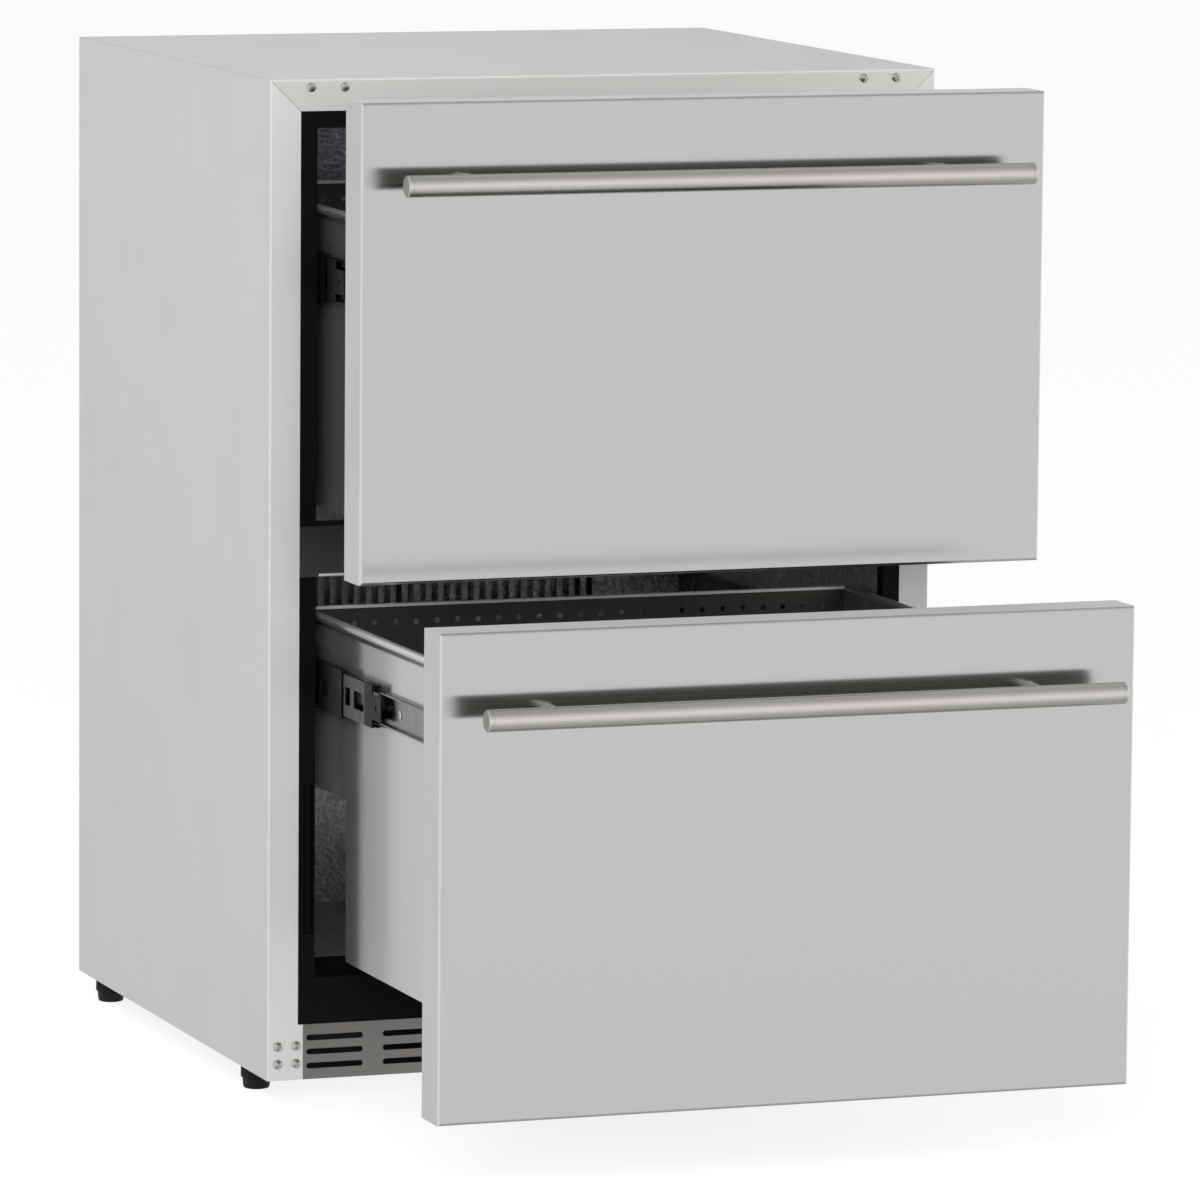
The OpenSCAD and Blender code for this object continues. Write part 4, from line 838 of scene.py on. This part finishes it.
def make_grille():
    """The kick grille, with its outermost slots cut through its ears to their full length."""
    end = [(SLOT_BEND_X - 0.6, s * SLOT_END_R) for s in (1, -1)]
    end += [
        (SLOT_BEND_X + SLOT_END_R * math.cos(a), SLOT_END_R * math.sin(a))
        for a in [math.radians(d) for d in range(-90, 91, 15)]
    ]
    punch = drawn(end, BACK * -0.5 * MM, BACK * 2.9 * MM, RIGHT, UP)
    half_turn = {-1: Matrix.Rotation(math.pi, 4, "Y"), 1: Matrix.Identity(4)}
    cuts = copies((punch, [
        Matrix.Translation(place(s * SLOT_MIDDLE_X, 0, z)) @ half_turn[s]
        for s in SIDES for z in SLOT_HEIGHTS
    ]))
    plate = bmesh.new()
    plate.from_mesh(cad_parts["kick_grille"].data)
    bmesh.ops.remove_doubles(plate, verts=plate.verts, dist=1e-7)
    for bm in (plate, cuts):
        bmesh.ops.recalc_face_normals(bm, faces=bm.faces)
    blank, cutter = new_object("grille blank", plate), new_object("grille cuts", cuts)
    cutting = blank.modifiers.new("slot ends", "BOOLEAN")
    cutting.operation, cutting.solver, cutting.object = "DIFFERENCE", "EXACT", cutter
    graph = bpy.context.evaluated_depsgraph_get()
    cut = bpy.data.meshes.new_from_object(blank.evaluated_get(graph))
    bm = bmesh.new()
    bm.from_mesh(cut)
    for mesh in (cut, blank.data, cutter.data):
        bpy.data.meshes.remove(mesh)
    finish_piece(
        "slotted_kick_grille", bm, "cabinet", "shaded_stainless", "grille", "kick_grille"
    ).data.shade_flat()


# ---- floor, world and lamps ----

WHITE = (1, 1, 1, 1)
FLOOR_HALF = 30.0
FLOOR_BELOW = 0.0005  # the floor lies this far under the feet
SEEN_FLOOR = 0.84  # what the floor glows by; the lamps' light on it adds up to white
CARD_HALF_WIDTH, CARD_HEIGHT, CARD_GLOW = 0.31, 0.022, 0.98


def seen_or_mirrored(tree):
    """1 for what the camera, a reflection or a refraction sees, 0 where light is gathered."""
    seen = add(tree, "ShaderNodeLightPath").outputs
    either = combined(tree, "MAXIMUM", seen["Is Camera Ray"], seen["Is Glossy Ray"])
    return combined(tree, "MAXIMUM", either, seen["Is Transmission Ray"])


def show(tree, gathered, seen, output):
    """Links one shader where light is gathered and another where it is seen or mirrored."""
    mix = add(tree, "ShaderNodeMixShader", {0: seen_or_mirrored(tree), 1: gathered, 2: seen})
    link(tree, mix.outputs[0], tree.nodes[output].inputs["Surface"])


def make_floor():
    """A pale floor that the camera sees as white with the object's shadow.

    Reflections look through it, at the world's even white.
    """
    bm = bmesh.new()
    bmesh.ops.create_grid(bm, x_segments=1, y_segments=1, size=FLOOR_HALF)
    floor = new_object("floor", bm)
    floor.location.z = -FLOOR_BELOW
    floor.visible_glossy = False
    material, tree, surface = new_material("pale studio floor")
    feed(tree, surface, {"Base Color": (0.5, 0.5, 0.5, 1), "Roughness": 0.9})
    shaded = add(tree, "ShaderNodeBsdfDiffuse", {"Color": (0.2, 0.2, 0.2, 1)}).outputs[0]
    white = add(tree, "ShaderNodeEmission", {"Color": WHITE, "Strength": SEEN_FLOOR}).outputs[0]
    lit = add(tree, "ShaderNodeAddShader", {0: shaded, 1: white}).outputs[0]
    show(tree, surface.outputs[0], lit, "Material Output")
    floor.data.materials.append(material)


def make_bounce_card():
    """A white card behind the lower front, which only reflections see.

    The foot of the upper front mirrors it, and not the dark inside of the lower drawer.
    """
    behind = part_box("lower_gasket")[1].y + 1 * MM
    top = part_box("lower_front_skin")[1].z
    low = top - CARD_HEIGHT
    corners = [(-1, low), (1, low), (1, top), (-1, top)]
    bm = bmesh.new()
    bm.faces.new([bm.verts.new((s * CARD_HALF_WIDTH, behind, z)) for s, z in corners])
    card = new_object("bounce card", bm)
    card.visible_camera = card.visible_diffuse = card.visible_shadow = False
    card.visible_transmission = card.visible_volume_scatter = False
    material, tree, _ = new_material("bounce card white")
    white = add(tree, "ShaderNodeEmission", {"Color": WHITE, "Strength": CARD_GLOW})
    link(tree, white.outputs[0], tree.nodes["Material Output"].inputs["Surface"])
    card.data.materials.append(material)


def make_world():
    """An even soft light; what the camera and the metals see is white, and greyer up and down."""
    world = bpy.data.worlds.new("studio")
    SCENE.world = world
    world.use_nodes = True
    tree = world.node_tree
    soft = tree.nodes["Background"]
    feed(tree, soft, {"Color": (1.0, 0.99, 0.975, 1), "Strength": 0.6})
    ahead = add(tree, "ShaderNodeTexCoord").outputs["Generated"]
    height = add(tree, "ShaderNodeSeparateXYZ", {"Vector": ahead}).outputs["Z"]
    strength = ranged(tree, combined(tree, "ABSOLUTE", height), 0.15, 1.0, 1.0, 0.4)
    white = add(tree, "ShaderNodeBackground", {"Color": WHITE, "Strength": strength})
    show(tree, soft.outputs[0], white.outputs[0], "World Output")


# place, aim, size and watts of each lamp
LAMPS = {
    "key lamp": ((-1.9, -4.7, 2.3), (0, 0, 0.6), (3.0, 2.4), 325),
    "side lamp": ((-1.8, 1.2, 2.0), (-0.3, 0, 0.7), (1.2, 1.2), 12),
    "fill lamp": ((2.6, -2.2, 1.6), (0, 0, 0.45), (2.4, 2.0), 24),
}


def make_lamps():
    """Soft lamps that no metal mirrors: what they mirror is the world's even white."""
    for name, (where, aim, size, power) in LAMPS.items():
        data = bpy.data.lights.new(name, "AREA")
        data.shape = "RECTANGLE"
        data.size, data.size_y = size
        data.energy = power
        lamp = bpy.data.objects.new(name, data)
        turn = (Vector(aim) - Vector(where)).to_track_quat("-Z", "Y").to_matrix().to_4x4()
        lamp.matrix_world = Matrix.Translation(where) @ turn
        lamp.visible_glossy = False
        SCENE.collection.objects.link(lamp)


make_camera()
dress_solids()
make_world()
make_floor()
make_bounce_card()
make_screws()
make_edges()
make_grille()
for drawer in ("upper", "lower"):
    make_gasket(drawer)
for corner in ("front_left", "front_right", "back_left", "back_right"):
    make_foot(corner)
make_lamps()

SCENE.view_settings.view_transform = "Standard"
